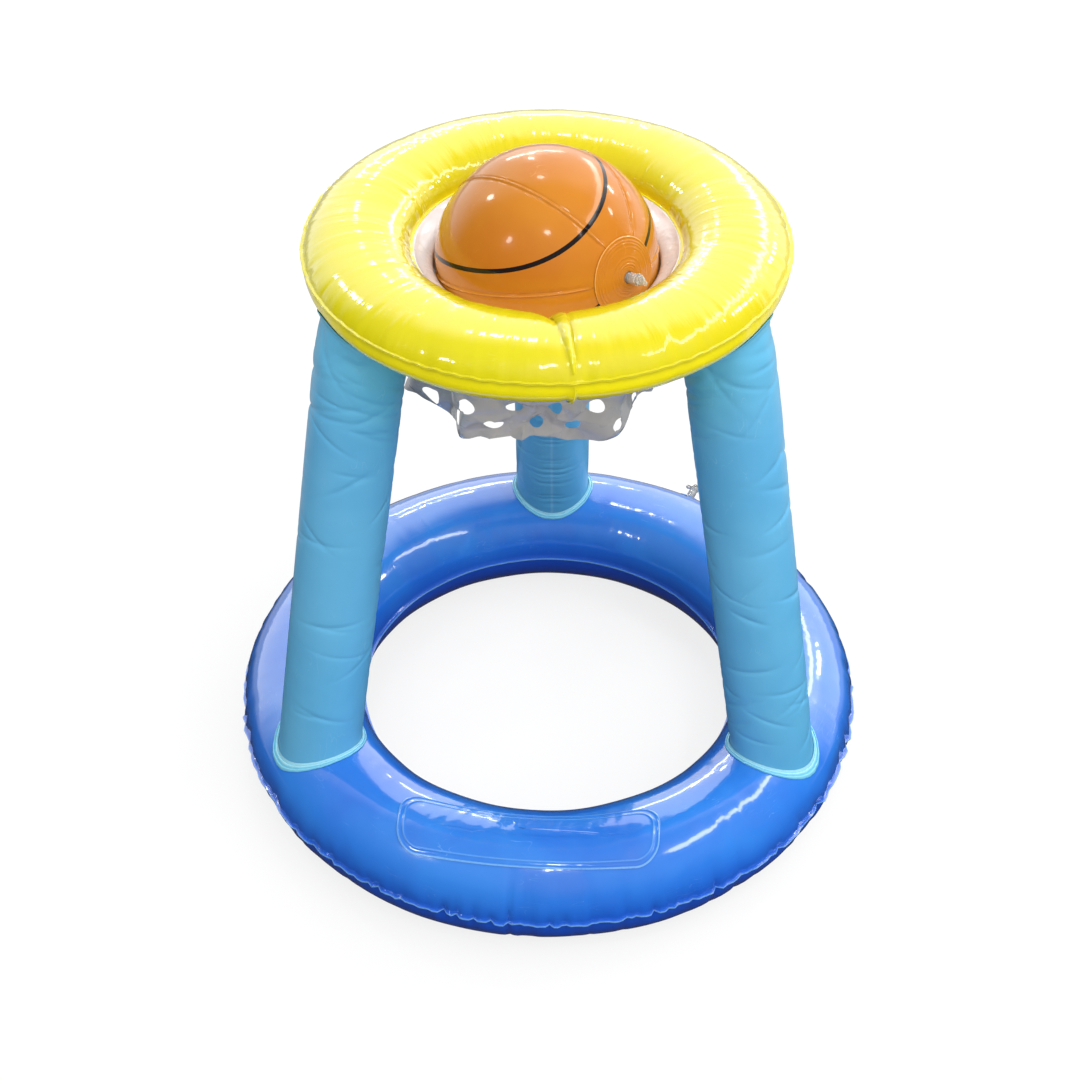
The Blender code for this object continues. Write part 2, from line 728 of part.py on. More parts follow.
def stem_profile():
    """The stem's section: a bored tube with a lip at its mouth and a flange behind the skin."""
    flange_low = -STEM_FLANGE_DEPTH - STEM_FLANGE_THICKNESS
    tail = flange_low - STEM_TAIL
    return [
        (STEM_BORE_RADIUS, STEM_REACH),
        (STEM_LIP_RADIUS, STEM_REACH),
        (STEM_LIP_RADIUS, STEM_REACH - STEM_LIP_HEIGHT),
        (STEM_RADIUS, STEM_REACH - STEM_LIP_HEIGHT),
        (STEM_RADIUS, -STEM_FLANGE_DEPTH),
        (STEM_FLANGE_RADIUS, -STEM_FLANGE_DEPTH),
        (STEM_FLANGE_RADIUS, flange_low),
        (STEM_RADIUS, flange_low),
        (STEM_RADIUS, tail),
        (STEM_BORE_RADIUS, tail),
    ]


def plug_profile():
    """The plug's section: a stopper in the bore, a head on the mouth and a knob to pull."""
    head_low = STEM_REACH + CLEARANCE
    head_high = head_low + PLUG_HEAD_THICKNESS
    stopper = STEM_BORE_RADIUS - CLEARANCE
    knob = [(across * PLUG_KNOB_RADIUS, head_high + up * PLUG_KNOB_HEIGHT) for across, up in PLUG_KNOB_SHARES]
    return [
        *knob,
        (PLUG_HEAD_RADIUS, head_high),
        (PLUG_HEAD_RADIUS, head_low),
        (stopper, head_low),
        (stopper, head_low - PLUG_DEPTH),
        (0, head_low - PLUG_DEPTH),
    ]


def tether_loops():
    """The tether's sections, on a half loop from inside the plug's head to the stem's lip."""
    head_mid = STEM_REACH + CLEARANCE + PLUG_HEAD_THICKNESS / 2
    lip_mid = STEM_REACH - STEM_LIP_HEIGHT / 2
    swell = (head_mid - lip_mid) * TETHER_SWELL_SHARE
    bend = TETHER_REACH * TETHER_BEND_SHARE
    path = [
        (PLUG_HEAD_RADIUS - TETHER_THICKNESS, head_mid),
        (bend, head_mid + swell),
        (TETHER_REACH, (head_mid + lip_mid) / 2),
        (bend, lip_mid - swell),
        (STEM_LIP_RADIUS + CLEARANCE + TETHER_THICKNESS / 2, lip_mid),
    ]
    points = [Vector((x, 0, z)) for x, z in path]
    loops = []
    for place, point in enumerate(points):
        before = points[max(place - 1, 0)]
        after = points[min(place + 1, len(points) - 1)]
        along = (after - before).normalized()
        across = along.cross(Vector((0, 1, 0))) * TETHER_THICKNESS / 2
        side = Vector((0, TETHER_WIDTH / 2, 0))
        corners = (-across - side, side - across, across + side, across - side)
        loops.append([point + corner for corner in corners])
    return loops


def add_valve(name, place, parent, material):
    """A stem through the skin, its plug with a tether, and the one-way flap behind it."""
    frame = add_empty(f"{name}_valve_frame", place, parent)
    stem = turned_solid(stem_profile(), VALVE_SIDES, closed=True)
    add_object(f"{name}_valve_stem", stem, material, None, frame)
    plug = add_object(f"{name}_valve_plug", turned_solid(plug_profile(), VALVE_SIDES), material, None, frame)
    tether = add_object(f"{name}_valve_tether_form", bridged(tether_loops()), material, None, frame)
    hide_helper(tether)
    joined = plug.modifiers.new("tether", "BOOLEAN")
    joined.operation = "UNION"
    joined.object = tether
    flap_top = -STEM_FLANGE_DEPTH - STEM_FLANGE_THICKNESS - STEM_TAIL - CLEARANCE
    hinge = Matrix.Translation((-FLAP_RADIUS, 0, flap_top))
    profile = [
        (0, 0),
        (FLAP_RADIUS, 0),
        (FLAP_RADIUS, -FLAP_THICKNESS),
        (0, -FLAP_THICKNESS),
    ]
    flap = turned_solid(profile, VALVE_SIDES)
    bmesh.ops.translate(flap, verts=flap.verts, vec=(FLAP_RADIUS, 0, 0))
    add_object(f"{name}_valve_flap", flap, material, hinge, frame)


def disc_on(ring, azimuth, angle):
    """A round sheet that follows a ring's skin, with a hole for the stem."""
    speed = math.hypot(ring.half_width * math.sin(angle), ring.half_height * math.cos(angle))
    radius = ring.section(angle)[0]
    rows = []
    for reach in (VALVE_HOLE_RADIUS, VALVE_DISC_RADIUS):
        row = []
        for turn in around(VALVE_DISC_SIDES):
            round_step = reach * math.cos(turn) / radius
            section_step = reach * math.sin(turn) / speed
            lift = SEAT_LIFT + VALVE_DISC_FILM
            row.append(ring.point(azimuth + round_step, angle + section_step, lift))
        rows.append(row)
    return face_away(sheet_of(rows, wraps=True), ring.middle)


def add_ring_valve(name, ring, skin, azimuth, angle, material, valve_material):
    """A valve through a ring's skin, which is cut for it, with its weld disc."""
    azimuth = math.radians(azimuth)
    angle = math.radians(angle)
    disc = add_object(f"{name}_valve_disc", disc_on(ring, azimuth, angle), material)
    thicken(disc, VALVE_DISC_FILM)
    origin = ring.point(azimuth, angle)
    place = frame_at(origin, ring.normal(azimuth, angle), direction(azimuth + math.pi / 2))
    reach = CUT_OVERRUN
    section = [(0, reach), (VALVE_HOLE_RADIUS, reach), (VALVE_HOLE_RADIUS, -reach), (0, -reach)]
    cutter = turned_solid(section, VALVE_DISC_SIDES)
    cut_hole(skin, add_object(f"{name}_valve_hole_form", cutter, material, place))
    add_valve(name, place, None, valve_material)


def main():
    """Builds every piece."""
    clear_scene()
    finishes = {name: make_material(name) for name in FINISHES}
    blue = finishes["base_blue"]
    yellow = finishes["hoop_yellow"]
    clear = finishes["clear_vinyl"]
    upper = upper_profile(BASE, BASE_ARC_STEPS, CLEARANCE)
    base_skin = add_skin("base_upper_skin", BASE, upper, BASE_SEGMENTS, blue)
    lower = lower_profile(BASE, BASE_SIDE_STEPS, CLEARANCE)
    add_skin("base_lower_skin", BASE, lower, BASE_SEGMENTS, blue)
    add_front_patch(blue)
    add_legs(finishes["leg_blue"], finishes["collar_blue"])
    upper = upper_profile(HOOP, HOOP_ARC_STEPS, NET_SEAM_GAP)
    add_skin("hoop_upper_skin", HOOP, upper, HOOP_SEGMENTS, yellow)
    lower = lower_profile(HOOP, HOOP_SIDE_STEPS, NET_SEAM_GAP)
    hoop_skin = add_skin("hoop_lower_skin", HOOP, lower, HOOP_SEGMENTS, yellow)
    add_cross_seams(yellow)
    net = add_object("net_skirt", Net().sheet(), finishes["net_white"])
    thicken(net, NET_FILM, 0.0)
    add_ball(finishes["ball_orange"], clear)
    add_ring_valve("base", BASE, base_skin, BASE_VALVE_AZIMUTH, BASE_VALVE_ANGLE, blue, clear)
    add_ring_valve("hoop", HOOP, hoop_skin, HOOP_VALVE_AZIMUTH, HOOP_VALVE_ANGLE, yellow, clear)


main()
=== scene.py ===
"""Floating basketball hoop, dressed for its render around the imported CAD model.

The toy is welded from printed PVC film. A blue base ring carries three pale legs, which carry
a yellow hoop. A punched white skirt hangs in the hoop, and an orange ball rests in the skirt.
Each sub-assembly is a class: its fields are the sizes of the real piece in metres, and its
methods model the pieces and give them their finishes. Angles are in degrees in the fields and
in radians in the methods. Azimuths count from +X towards +Y, and the front faces -Y.
"""

import logging
import math
from contextlib import contextmanager
from dataclasses import dataclass, field
from enum import Enum
from math import radians
from typing import Callable, Iterator, Sequence

import bmesh
import bpy
import numpy as np
from mathutils import Matrix, Vector


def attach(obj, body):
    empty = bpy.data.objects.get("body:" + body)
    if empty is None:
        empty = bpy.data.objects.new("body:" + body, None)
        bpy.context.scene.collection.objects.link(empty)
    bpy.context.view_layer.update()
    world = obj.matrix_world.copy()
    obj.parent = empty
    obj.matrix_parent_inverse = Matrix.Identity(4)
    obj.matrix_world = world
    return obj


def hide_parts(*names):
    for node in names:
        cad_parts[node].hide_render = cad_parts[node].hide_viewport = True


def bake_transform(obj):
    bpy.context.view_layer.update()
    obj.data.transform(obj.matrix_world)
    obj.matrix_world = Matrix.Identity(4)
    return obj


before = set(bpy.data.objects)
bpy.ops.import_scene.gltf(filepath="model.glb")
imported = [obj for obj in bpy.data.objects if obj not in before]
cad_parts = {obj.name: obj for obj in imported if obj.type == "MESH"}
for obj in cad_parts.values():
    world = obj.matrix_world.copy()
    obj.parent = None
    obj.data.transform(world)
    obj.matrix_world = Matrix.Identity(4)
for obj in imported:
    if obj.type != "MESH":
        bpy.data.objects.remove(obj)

Array = np.ndarray
Pair = tuple[float, float]
Triple = tuple[float, float, float]
Colour = Triple
Material = bpy.types.Material
Node = bpy.types.Node
NodeTree = bpy.types.NodeTree
Object = bpy.types.Object
Socket = bpy.types.NodeSocket

LOG = logging.getLogger("floating_hoop")
FULL_TURN = 2 * math.pi
UP = Vector((0, 0, 1))

# In metres: the film, the gaps round it, the lip of a seam, and how near two points count as one.
FILM = 0.0005
CLEARANCE = 0.0003
SEAT_LIFT = 0.0006
SEAM_LIP = 0.0024
MERGE = 0.00002

# The attributes that the materials read; the last is the share of painted light and painted shade.
PLACE = "film_place"
WELD = "weld"
INK = "ink"
PAINTED_LIGHT = "under"

# The azimuth and the section angle of each ring's valve, in degrees.
BASE_VALVE = (60.0, 25.0)
HOOP_VALVE = (30.0, -70.0)

# The kinds of socket of the shader groups.
VECTOR = "NodeSocketVector"
NUMBER = "NodeSocketFloat"
COLOUR = "NodeSocketColor"


class Body(Enum):
    """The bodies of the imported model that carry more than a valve's piece."""

    STAND = "stand"
    BALL = "ball"


class Slot(Enum):
    """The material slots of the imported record."""

    BASE = "base_film"
    LEG = "leg_film"
    COLLAR = "collar_film"
    HOOP = "hoop_film"
    NET = "net_film"
    BALL = "ball_film"
    VINYL = "clear_vinyl"


class Half(Enum):
    """The half of an inflated ring that a skin covers."""

    UPPER = 1
    LOWER = -1


# Modelling helpers


def ease(values: Array, low: float, high: float) -> Array:
    """Rises smoothly from 0 at low to 1 at high, which may be the smaller one."""
    share = np.clip((values - low) / (high - low), 0, 1)
    return share * share * (3 - 2 * share)


def bell(distance: Array, width: Array | float) -> Array:
    """A soft ridge that is 1 high in its middle and fades over its width to both sides."""
    return np.exp(-((distance / width) ** 2))


def turn_between(first: Array, second: float) -> Array:
    """The signed angle from second to first, between half a turn back and half a turn on."""
    return (first - second + math.pi) % FULL_TURN - math.pi


def level(azimuth: float) -> Vector:
    """The level unit vector at an azimuth."""
    return Vector((math.cos(azimuth), math.sin(azimuth), 0))


def around_axis(radius: Array | float, azimuth: Array, height: Array) -> Array:
    """Points by their distance from the Z axis, azimuth and height, as rows of three."""
    return np.stack([radius * np.cos(azimuth), radius * np.sin(azimuth), height], axis=1)


def frame_at(origin: Vector, z_axis: Vector, x_axis: Vector) -> Matrix:
    """Makes a frame with this origin, Z axis and, as nearly as it can be, X axis.

    Args:
        origin: The frame's origin.
        z_axis: The direction of its Z axis.
        x_axis: A direction near its X axis.

    Returns:
        The frame's matrix.
    """
    z_axis = z_axis.normalized()
    y_axis = z_axis.cross(x_axis).normalized()
    matrix = Matrix((y_axis.cross(z_axis), y_axis, z_axis)).transposed().to_4x4()
    matrix.translation = origin
    return matrix


def choose(obj: Object) -> None:
    """Makes one object the only one selected, and the active one.

    Args:
        obj: The object.
    """
    bpy.ops.object.select_all(action="DESELECT")
    obj.select_set(True)
    bpy.context.view_layer.objects.active = obj


def add(operator: Callable, name: str, **sizes: object) -> Object:
    """Adds a primitive, with nothing else selected.

    Args:
        operator: The operator that adds it.
        name: The new piece's name.
        **sizes: What the operator is given.

    Returns:
        The new object.
    """
    bpy.ops.object.select_all(action="DESELECT")
    operator(**sizes)
    obj = bpy.context.active_object
    obj.name = obj.data.name = name
    return obj


@contextmanager
def editing(obj: Object, kind: str = "EDGE") -> Iterator[bmesh.types.BMesh]:
    """Opens a mesh in edit mode with nothing selected.

    Args:
        obj: The object to edit.
        kind: What is selected there: VERT, EDGE or FACE.

    Yields:
        The edit mesh.
    """
    choose(obj)
    bpy.ops.object.mode_set(mode="EDIT")
    bpy.ops.mesh.select_mode(type=kind)
    bpy.ops.mesh.select_all(action="DESELECT")
    try:
        yield bmesh.from_edit_mesh(obj.data)
    finally:
        bpy.ops.object.mode_set(mode="OBJECT")


def pick(obj: Object, parts: Sequence, test: Callable[..., bool]) -> None:
    """Selects the parts of the edit mesh that pass a test.

    Args:
        obj: The object in edit mode.
        parts: Its edit mesh's vertices, edges or faces.
        test: Says whether a part is to be selected.
    """
    for part in parts:
        if test(part):
            part.select_set(True)
    bmesh.update_edit_mesh(obj.data)


def edge_middle(edge: bmesh.types.BMEdge) -> Vector:
    """The middle of an edge."""
    return (edge.verts[0].co + edge.verts[1].co) / 2


def extrude_ring(scale: float, rise: float = 0.0, height: float = 0.0) -> None:
    """Extrudes the selected edges by a rise to a height, and scales them about the Z axis."""
    bpy.ops.mesh.extrude_edges_move(TRANSFORM_OT_translate={"value": (0, 0, rise)})
    bpy.ops.transform.resize(value=(scale, scale, 1), center_override=(0, 0, height))


def rows(parts: Sequence, name: str, width: int = 3) -> Array:
    """Reads a value of a mesh's vertices or faces.

    Args:
        parts: The vertices or faces.
        name: The value's name.
        width: How many numbers it has.

    Returns:
        One row for each.
    """
    flat = np.empty(len(parts) * width)
    parts.foreach_get(name, flat)
    return flat.reshape(-1, width)


def points_of(obj: Object) -> Array:
    """The vertices of a piece as rows of three."""
    return rows(obj.data.vertices, "co")


def face_centres(obj: Object) -> Array:
    """The middles of a piece's faces as rows of three."""
    return rows(obj.data.polygons, "center")


def move_points(obj: Object, points: Array) -> None:
    """Puts the vertices of a piece at new places."""
    obj.data.vertices.foreach_set("co", np.ascontiguousarray(points, dtype=np.float32).ravel())
    obj.data.update()


def store(obj: Object, name: str, values: Array) -> None:
    """Keeps a value for each vertex as an attribute.

    Args:
        obj: The piece.
        name: The attribute's name.
        values: One number, or one row of three, for each vertex.
    """
    kind, value = ("FLOAT", "value") if values.ndim == 1 else ("FLOAT_VECTOR", "vector")
    layer = obj.data.attributes.new(name, kind, "POINT")
    layer.data.foreach_set(value, np.ascontiguousarray(values, dtype=np.float32).ravel())


def mark(obj: Object, place: Array, weld: Array, under: Array | float) -> None:
    """Keeps what a film's material reads.

    Args:
        obj: The piece.
        place: The place of each vertex on the film.
        weld: How much of a weld's tone each has.
        under: The share of painted light and painted shade at each vertex.
    """
    store(obj, PLACE, place)
    store(obj, WELD, weld)
    # Painted light and shade, stored for the material to blend in.
    store(obj, PAINTED_LIGHT, np.zeros(len(obj.data.vertices)) + under)


def merge_doubles(obj: Object) -> None:
    """Joins the vertices that lie on each other, and makes the faces agree.

    Args:
        obj: The piece.
    """
    with editing(obj, "VERT"):
        bpy.ops.mesh.select_all(action="SELECT")
        bpy.ops.mesh.remove_doubles(threshold=MERGE)
        bpy.ops.mesh.normals_make_consistent(inside=False)


def close_ends(obj: Object) -> None:
    """Closes a tube's two ends.

    Args:
        obj: The tube.
    """
    with editing(obj) as bm:
        pick(obj, bm.edges, lambda edge: edge.is_boundary)
        bpy.ops.mesh.fill()
        bpy.ops.mesh.select_all(action="SELECT")
        bpy.ops.mesh.normals_make_consistent(inside=False)


def face_away(obj: Object, middles: Array) -> None:
    """Turns a sheet's faces away from the middle of what it encloses.

    Args:
        obj: The sheet.
        middles: One point for all of it, or one for each face.
    """
    faces = obj.data.polygons
    looks = np.sum((rows(faces, "center") - middles) * rows(faces, "normal"), axis=1)
    if np.sum(looks * rows(faces, "area", 1)[:, 0]) < 0:
        with editing(obj, "FACE"):
            bpy.ops.mesh.select_all(action="SELECT")
            bpy.ops.mesh.flip_normals()


def thicken(obj: Object, film: float, offset: float = -1.0) -> None:
    """Gives a sheet its film thickness and smooth shading.

    Args:
        obj: The sheet.
        film: The thickness.
        offset: Where the film lies: -1 inside the sheet, 0 to both sides.
    """
    choose(obj)
    bpy.ops.object.modifier_add(type="SOLIDIFY")
    wall = obj.modifiers[-1]
    wall.thickness = film
    wall.offset = offset
    wall.use_even_offset = False
    bpy.ops.object.modifier_apply(modifier=wall.name)
    shade(obj)


def shade(obj: Object, angle: float = 60.0) -> None:
    """Shades a piece smooth, but for the edges that are sharper than an angle."""
    choose(obj)
    bpy.ops.object.shade_smooth_by_angle(angle=radians(angle))


def dress(obj: Object, material: Material, slot: Slot, *nodes: str, body: str = Body.STAND.value) -> None:
    """Gives a piece its material and body, and hides the CAD nodes it stands for.

    Args:
        obj: The piece.
        material: Its material.
        slot: The record's slot of that material; not used.
        *nodes: The CAD nodes.
        body: The body that carries it.
    """
    obj.data.materials.clear()
    obj.data.materials.append(material)
    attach(obj, body)
    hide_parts(*nodes)


def torus_canvas(name: str, rounds: int, sections: int) -> tuple[Object, Array, Array]:
    """Adds a closed sweep to be shaped.

    Args:
        name: The piece's name.
        rounds: The steps of its path.
        sections: The steps of its section.

    Returns:
        The object, and for each vertex its turn along the path and its turn round the section.
    """
    sizes = {"major_segments": rounds, "minor_segments": sections, "major_radius": 2.0, "minor_radius": 1.0}
    obj = add(bpy.ops.mesh.primitive_torus_add, name, **sizes)
    x, y, z = points_of(obj).T
    return obj, np.arctan2(y, x), np.arctan2(z, np.hypot(x, y) - 2.0)


def tube_canvas(name: str, sides: int, cuts: tuple[int, int]) -> tuple[Object, Array, Array]:
    """Adds an open tube to be shaped.

    Args:
        name: The piece's name.
        sides: The steps round it.
        cuts: How often its length is cut, and how often each part is cut again.

    Returns:
        The object, and for each vertex its turn round the tube and its share of the length.
    """
    add_cylinder = bpy.ops.mesh.primitive_cylinder_add
    obj = add(add_cylinder, name, vertices=sides, radius=1, depth=1, end_fill_type="NOTHING")
    for count in cuts:
        with editing(obj) as bm:
            pick(obj, bm.edges, lambda edge: abs(edge.verts[0].co.z - edge.verts[1].co.z) > MERGE)
            bpy.ops.mesh.subdivide(number_cuts=count)
    x, y, z = points_of(obj).T
    return obj, np.arctan2(y, x), z + 0.5


def disc_canvas(name: str, sides: int, rings: int, open_middle: bool) -> tuple[Object, Array, Array]:
    """Adds a round sheet to be shaped.

    Args:
        name: The piece's name.
        sides: The steps round it.
        rings: The steps from its rim inwards.
        open_middle: Whether its middle stays a hole.

    Returns:
        The object, and for each vertex its phase and its share of the way inwards.
    """
    obj = add(bpy.ops.mesh.primitive_circle_add, name, vertices=sides, radius=1, fill_type="NOTHING")
    inner = 0.5 if open_middle else 0.001
    radii = np.linspace(1, inner, rings + 1)
    with editing(obj):
        bpy.ops.mesh.select_all(action="SELECT")
        for before, after in zip(radii, radii[1:]):
            extrude_ring(after / before)
        if not open_middle:
            bpy.ops.mesh.merge(type="CENTER")
    x, y, _ = points_of(obj).T
    share = np.clip((1 - np.hypot(x, y)) / (1 - inner), 0, 1)
    return obj, np.arctan2(y, x), share


def lathe(name: str, profile: Sequence[Pair], sides: int, closed: bool) -> Object:
    """Turns a section round the Z axis, ring by ring.

    Args:
        name: The piece's name.
        profile: The section's (radius, height) points, the first and last perhaps on the axis.
        sides: The steps round the axis.
        closed: Whether the last ring joins the first.

    Returns:
        The piece, round the origin.
    """
    tip = 0.00002
    rings = [(max(radius, tip), height) for radius, height in profile]
    if closed:
        rings.append(rings[0])
    radius, height = rings[0]
    sizes = {"vertices": sides, "radius": radius, "fill_type": "NOTHING", "location": (0, 0, height)}
    obj = add(bpy.ops.mesh.primitive_circle_add, name, **sizes)
    bpy.ops.object.transform_apply(location=True, rotation=False, scale=False)
    with editing(obj):
        bpy.ops.mesh.select_all(action="SELECT")
        for before, after in zip(rings, rings[1:]):
            extrude_ring(after[0] / before[0], after[1] - before[1], after[1])
    with editing(obj) as bm:
        for radius, height in (rings[0], rings[-1]):
            if radius <= tip:
                near, edges = MERGE + tip, [edge for edge in bm.edges if edge.is_boundary]
                pick(obj, edges, lambda edge: abs(edge_middle(edge).z - height) < near)
                bpy.ops.mesh.merge(type="COLLAPSE")
                bpy.ops.mesh.select_all(action="DESELECT")
    merge_doubles(obj)
    return obj


def arc_points(centre: Pair, radius: float, start: float, end: float, steps: int) -> list:
    """The (radius, height) points of an arc of a section, from and to an angle in degrees."""
    angles = np.radians(np.linspace(start, end, steps + 1))
    return [(centre[0] + radius * math.cos(angle), centre[1] + radius * math.sin(angle)) for angle in angles]


# Shader helpers


class Wiring:
    """Adds and joins the nodes of one node tree."""

    def __init__(self, tree: NodeTree) -> None:
        """Keeps the tree."""
        self.tree = tree

    def feed(self, socket: Socket, value: object) -> None:
        """Sets an input, or links it where the value is a socket.

        Args:
            socket: The input.
            value: The plain value or the socket.
        """
        if isinstance(value, Socket):
            self.tree.links.new(value, socket)
        else:
            socket.default_value = value

    def fill(self, node: Node, **values: object) -> None:
        """Sets or links inputs by name, with _ for a blank."""
        for name, value in values.items():
            self.feed(node.inputs[name.replace("_", " ")], value)

    def node(self, kind: str, settings: dict | None = None, *values: object, **named: object) -> Node:
        """Adds a node.

        Args:
            kind: The node's type name.
            settings: Its properties.
            *values: Its first inputs in order.
            **named: Its inputs by name, with _ for a blank.

        Returns:
            The node.
        """
        node = self.tree.nodes.new(kind)
        for name, value in (settings or {}).items():
            setattr(node, name, value)
        for socket, value in zip(node.inputs, values):
            self.feed(socket, value)
        self.fill(node, **named)
        return node

    def maths(self, operation: str, *values: object) -> Socket:
        """Adds a Math node with its inputs in order, and gives its output."""
        return self.node("ShaderNodeMath", {"operation": operation}, *values).outputs[0]

    def vector(self, operation: str, *values: object, output: str = "Vector") -> Socket:
        """Adds a Vector Math node with its inputs in order, and gives an output."""
        return self.node("ShaderNodeVectorMath", {"operation": operation}, *values).outputs[output]

    def noise(self, place: Socket, scale: float, detail: float = 2.0, rough: float = 0.5) -> Socket:
        """Adds a 3-D noise, about a half on average, with finer layers and their strength."""
        node = self.node("ShaderNodeTexNoise", Vector=place, Scale=scale, Detail=detail, Roughness=rough)
        return node.outputs["Fac"]

    def ramp(
        self, value: Socket, low: object, high: object, start: object = 0.0, end: object = 1.0
    ) -> Socket:
        """Maps the range from low to high smoothly to that from start to end."""
        smooth = {"interpolation_type": "SMOOTHSTEP"}
        return self.node("ShaderNodeMapRange", smooth, value, low, high, start, end).outputs["Result"]

    def blend(self, share: Socket, first: object, second: object) -> Socket:
        """Mixes two colours.

        Args:
            share: The share of the second.
            first: The first colour.
            second: The second colour.

        Returns:
            The mixed colour.
        """
        node = self.node("ShaderNodeMix", {"data_type": "RGBA"}, share)
        self.feed(node.inputs[6], first)
        self.feed(node.inputs[7], second)
        return node.outputs[2]

    def mix(self, share: Socket, first: object, second: object) -> Socket:
        """Mixes two numbers by the share of the second."""
        return self.node("ShaderNodeMix", Factor=share, A=first, B=second).outputs["Result"]

    def attribute(self, name: str, output: str) -> Socket:
        """Reads a mesh attribute."""
        return self.node("ShaderNodeAttribute", {"attribute_name": name}).outputs[output]


def rgba(colour: Colour) -> tuple[float, float, float, float]:
    """A colour with its alpha."""
    return (*colour, 1.0)


class SharedEffects:
    """The shader groups that more than one finish uses."""

    def __init__(self) -> None:
        """Builds the groups once."""
        self.ripple = self.build_ripple()
        self.handling = self.build_handling()
        self.weld = self.build_weld()

    @staticmethod
    def start(name: str, inputs: dict[str, str], outputs: dict[str, str]) -> tuple[Wiring, list, Node]:
        """Starts a group.

        Args:
            name: Its name.
            inputs: The kinds of its inputs by name.
            outputs: The kinds of its outputs by name.

        Returns:
            Its wiring, its input sockets, and the node that takes its outputs.
        """
        wiring = Wiring(bpy.data.node_groups.new(name, "ShaderNodeTree"))
        for way, sockets in (("INPUT", inputs), ("OUTPUT", outputs)):
            for title, kind in sockets.items():
                wiring.tree.interface.new_socket(title, in_out=way, socket_type=kind)
        source, sink = wiring.node("NodeGroupInput"), wiring.node("NodeGroupOutput")
        return wiring, source.outputs[: len(inputs)], sink

    def build_ripple(self) -> NodeTree:
        """Builds the slack ripples and the fine grain of inflated film.

        Returns:
            The group, whose output is a height in metres.
        """
        inputs = {"Place": VECTOR, "Stretch": VECTOR, "Ripple": NUMBER, "Grain": NUMBER}
        wiring, (place, stretch, ripple, grain), sink = self.start("film_ripple", inputs, {"Height": NUMBER})
        stretched = wiring.vector("MULTIPLY", place, stretch)
        shifted = wiring.vector("ADD", stretched, wiring.noise(place, 22.0, 1.0))
        long_wave = wiring.noise(stretched, 0.55, 1.0, 0.4)
        short_wave = wiring.noise(shifted, 1.0, 2.0, 0.45)
        patchy = wiring.ramp(wiring.noise(place, 13.0), 0.38, 0.62, 0.25, 1.0)
        waves = wiring.maths("MULTIPLY_ADD", short_wave, patchy, long_wave)
        fine = wiring.noise(place, 900.0, 3.0, 0.6)
        rippled = wiring.maths("MULTIPLY", waves, ripple)
        wiring.fill(sink, Height=wiring.maths("MULTIPLY_ADD", fine, grain, rippled))
        return wiring.tree

    def build_handling(self) -> NodeTree:
        """Builds the marks of packing and play: smudges of the gloss, and thin scratches.

        Returns:
            The group.
        """
        inputs, outputs = {"Place": VECTOR, "Stretch": VECTOR}, {"Smudge": NUMBER, "Scratch": NUMBER}
        wiring, (place, stretch), sink = self.start("film_handling", inputs, outputs)
        smudge = wiring.ramp(wiring.noise(place, 18.0, 4.0, 0.6), 0.42, 0.68)
        streaks = wiring.noise(wiring.vector("MULTIPLY", place, stretch), 1.0, 1.0, 0.3)
        rare = wiring.ramp(wiring.noise(place, 26.0), 0.55, 0.68)
        line = wiring.ramp(wiring.maths("ABSOLUTE", wiring.maths("SUBTRACT", streaks, 0.5)), 0.012, 0.0)
        wiring.fill(sink, Smudge=smudge, Scratch=wiring.maths("MULTIPLY", line, rare))
        return wiring.tree

    def build_weld(self) -> NodeTree:
        """Builds the paler tone of a weld, and the uneven tone of thin film.

        Returns:
            The group, whose output is a colour.
        """
        inputs = {"Place": VECTOR, "Film": COLOUR, "Pale": COLOUR, "Deep": COLOUR}
        inputs |= {"Weld": NUMBER, "Scratch": NUMBER}
        wiring, given, sink = self.start("film_tone", inputs, {"Colour": COLOUR})
        place, film, pale, deep, weld, scratch = given
        toned = wiring.blend(wiring.ramp(wiring.noise(place, 9.0, 3.0, 0.55), 0.35, 0.7), film, deep)
        speck = wiring.ramp(wiring.noise(place, 420.0, 2.0, 0.6), 0.5, 0.75, 0.0, 0.35)
        rough_weld = wiring.maths("MULTIPLY", weld, wiring.maths("SUBTRACT", 1.0, speck))
        marks = wiring.maths("MAXIMUM", rough_weld, wiring.maths("MULTIPLY", scratch, 0.35))
        wiring.fill(sink, Colour=wiring.blend(marks, toned, pale))
        return wiring.tree


@dataclass(frozen=True)
class Surface:
    """A material in the making: itself, its wiring and its shader."""

    material: Material
    wiring: Wiring
    shader: Node

    @classmethod
    def start(cls, name: str, colour: Colour) -> "Surface":
        """Starts a material.

        Args:
            name: Its name.
            colour: Its plain colour.

        Returns:
            The surface.
        """
        material = bpy.data.materials.new(name)
        material.use_nodes = True
        material.diffuse_color = rgba(colour)
        return cls(material, Wiring(material.node_tree), material.node_tree.nodes["Principled BSDF"])

    def handled(self, shared: SharedEffects, place: Socket, stretch: Colour, rough: Pair) -> Socket:
        """Wires the roughness.

        Args:
            shared: The shader groups.
            place: The place on the film.
            stretch: The scratches' scale along each axis.
            rough: The least and the greatest roughness.

        Returns:
            The scratch mask.
        """
        marks = self.wiring.node("ShaderNodeGroup", {"node_tree": shared.handling}, place, stretch)
        self.wiring.fill(self.shader, Roughness=self.wiring.ramp(marks.outputs["Smudge"], 0.0, 1.0, *rough))
        return marks.outputs["Scratch"]

    def rippled(self, shared: SharedEffects, *values: object) -> Socket:
        """The normal of rippled film, from the ripple group's inputs in order."""
        height = self.wiring.node("ShaderNodeGroup", {"node_tree": shared.ripple}, *values).outputs[0]
        return self.wiring.node("ShaderNodeBump", Distance=1.0, Strength=1.0, Height=height).outputs[0]


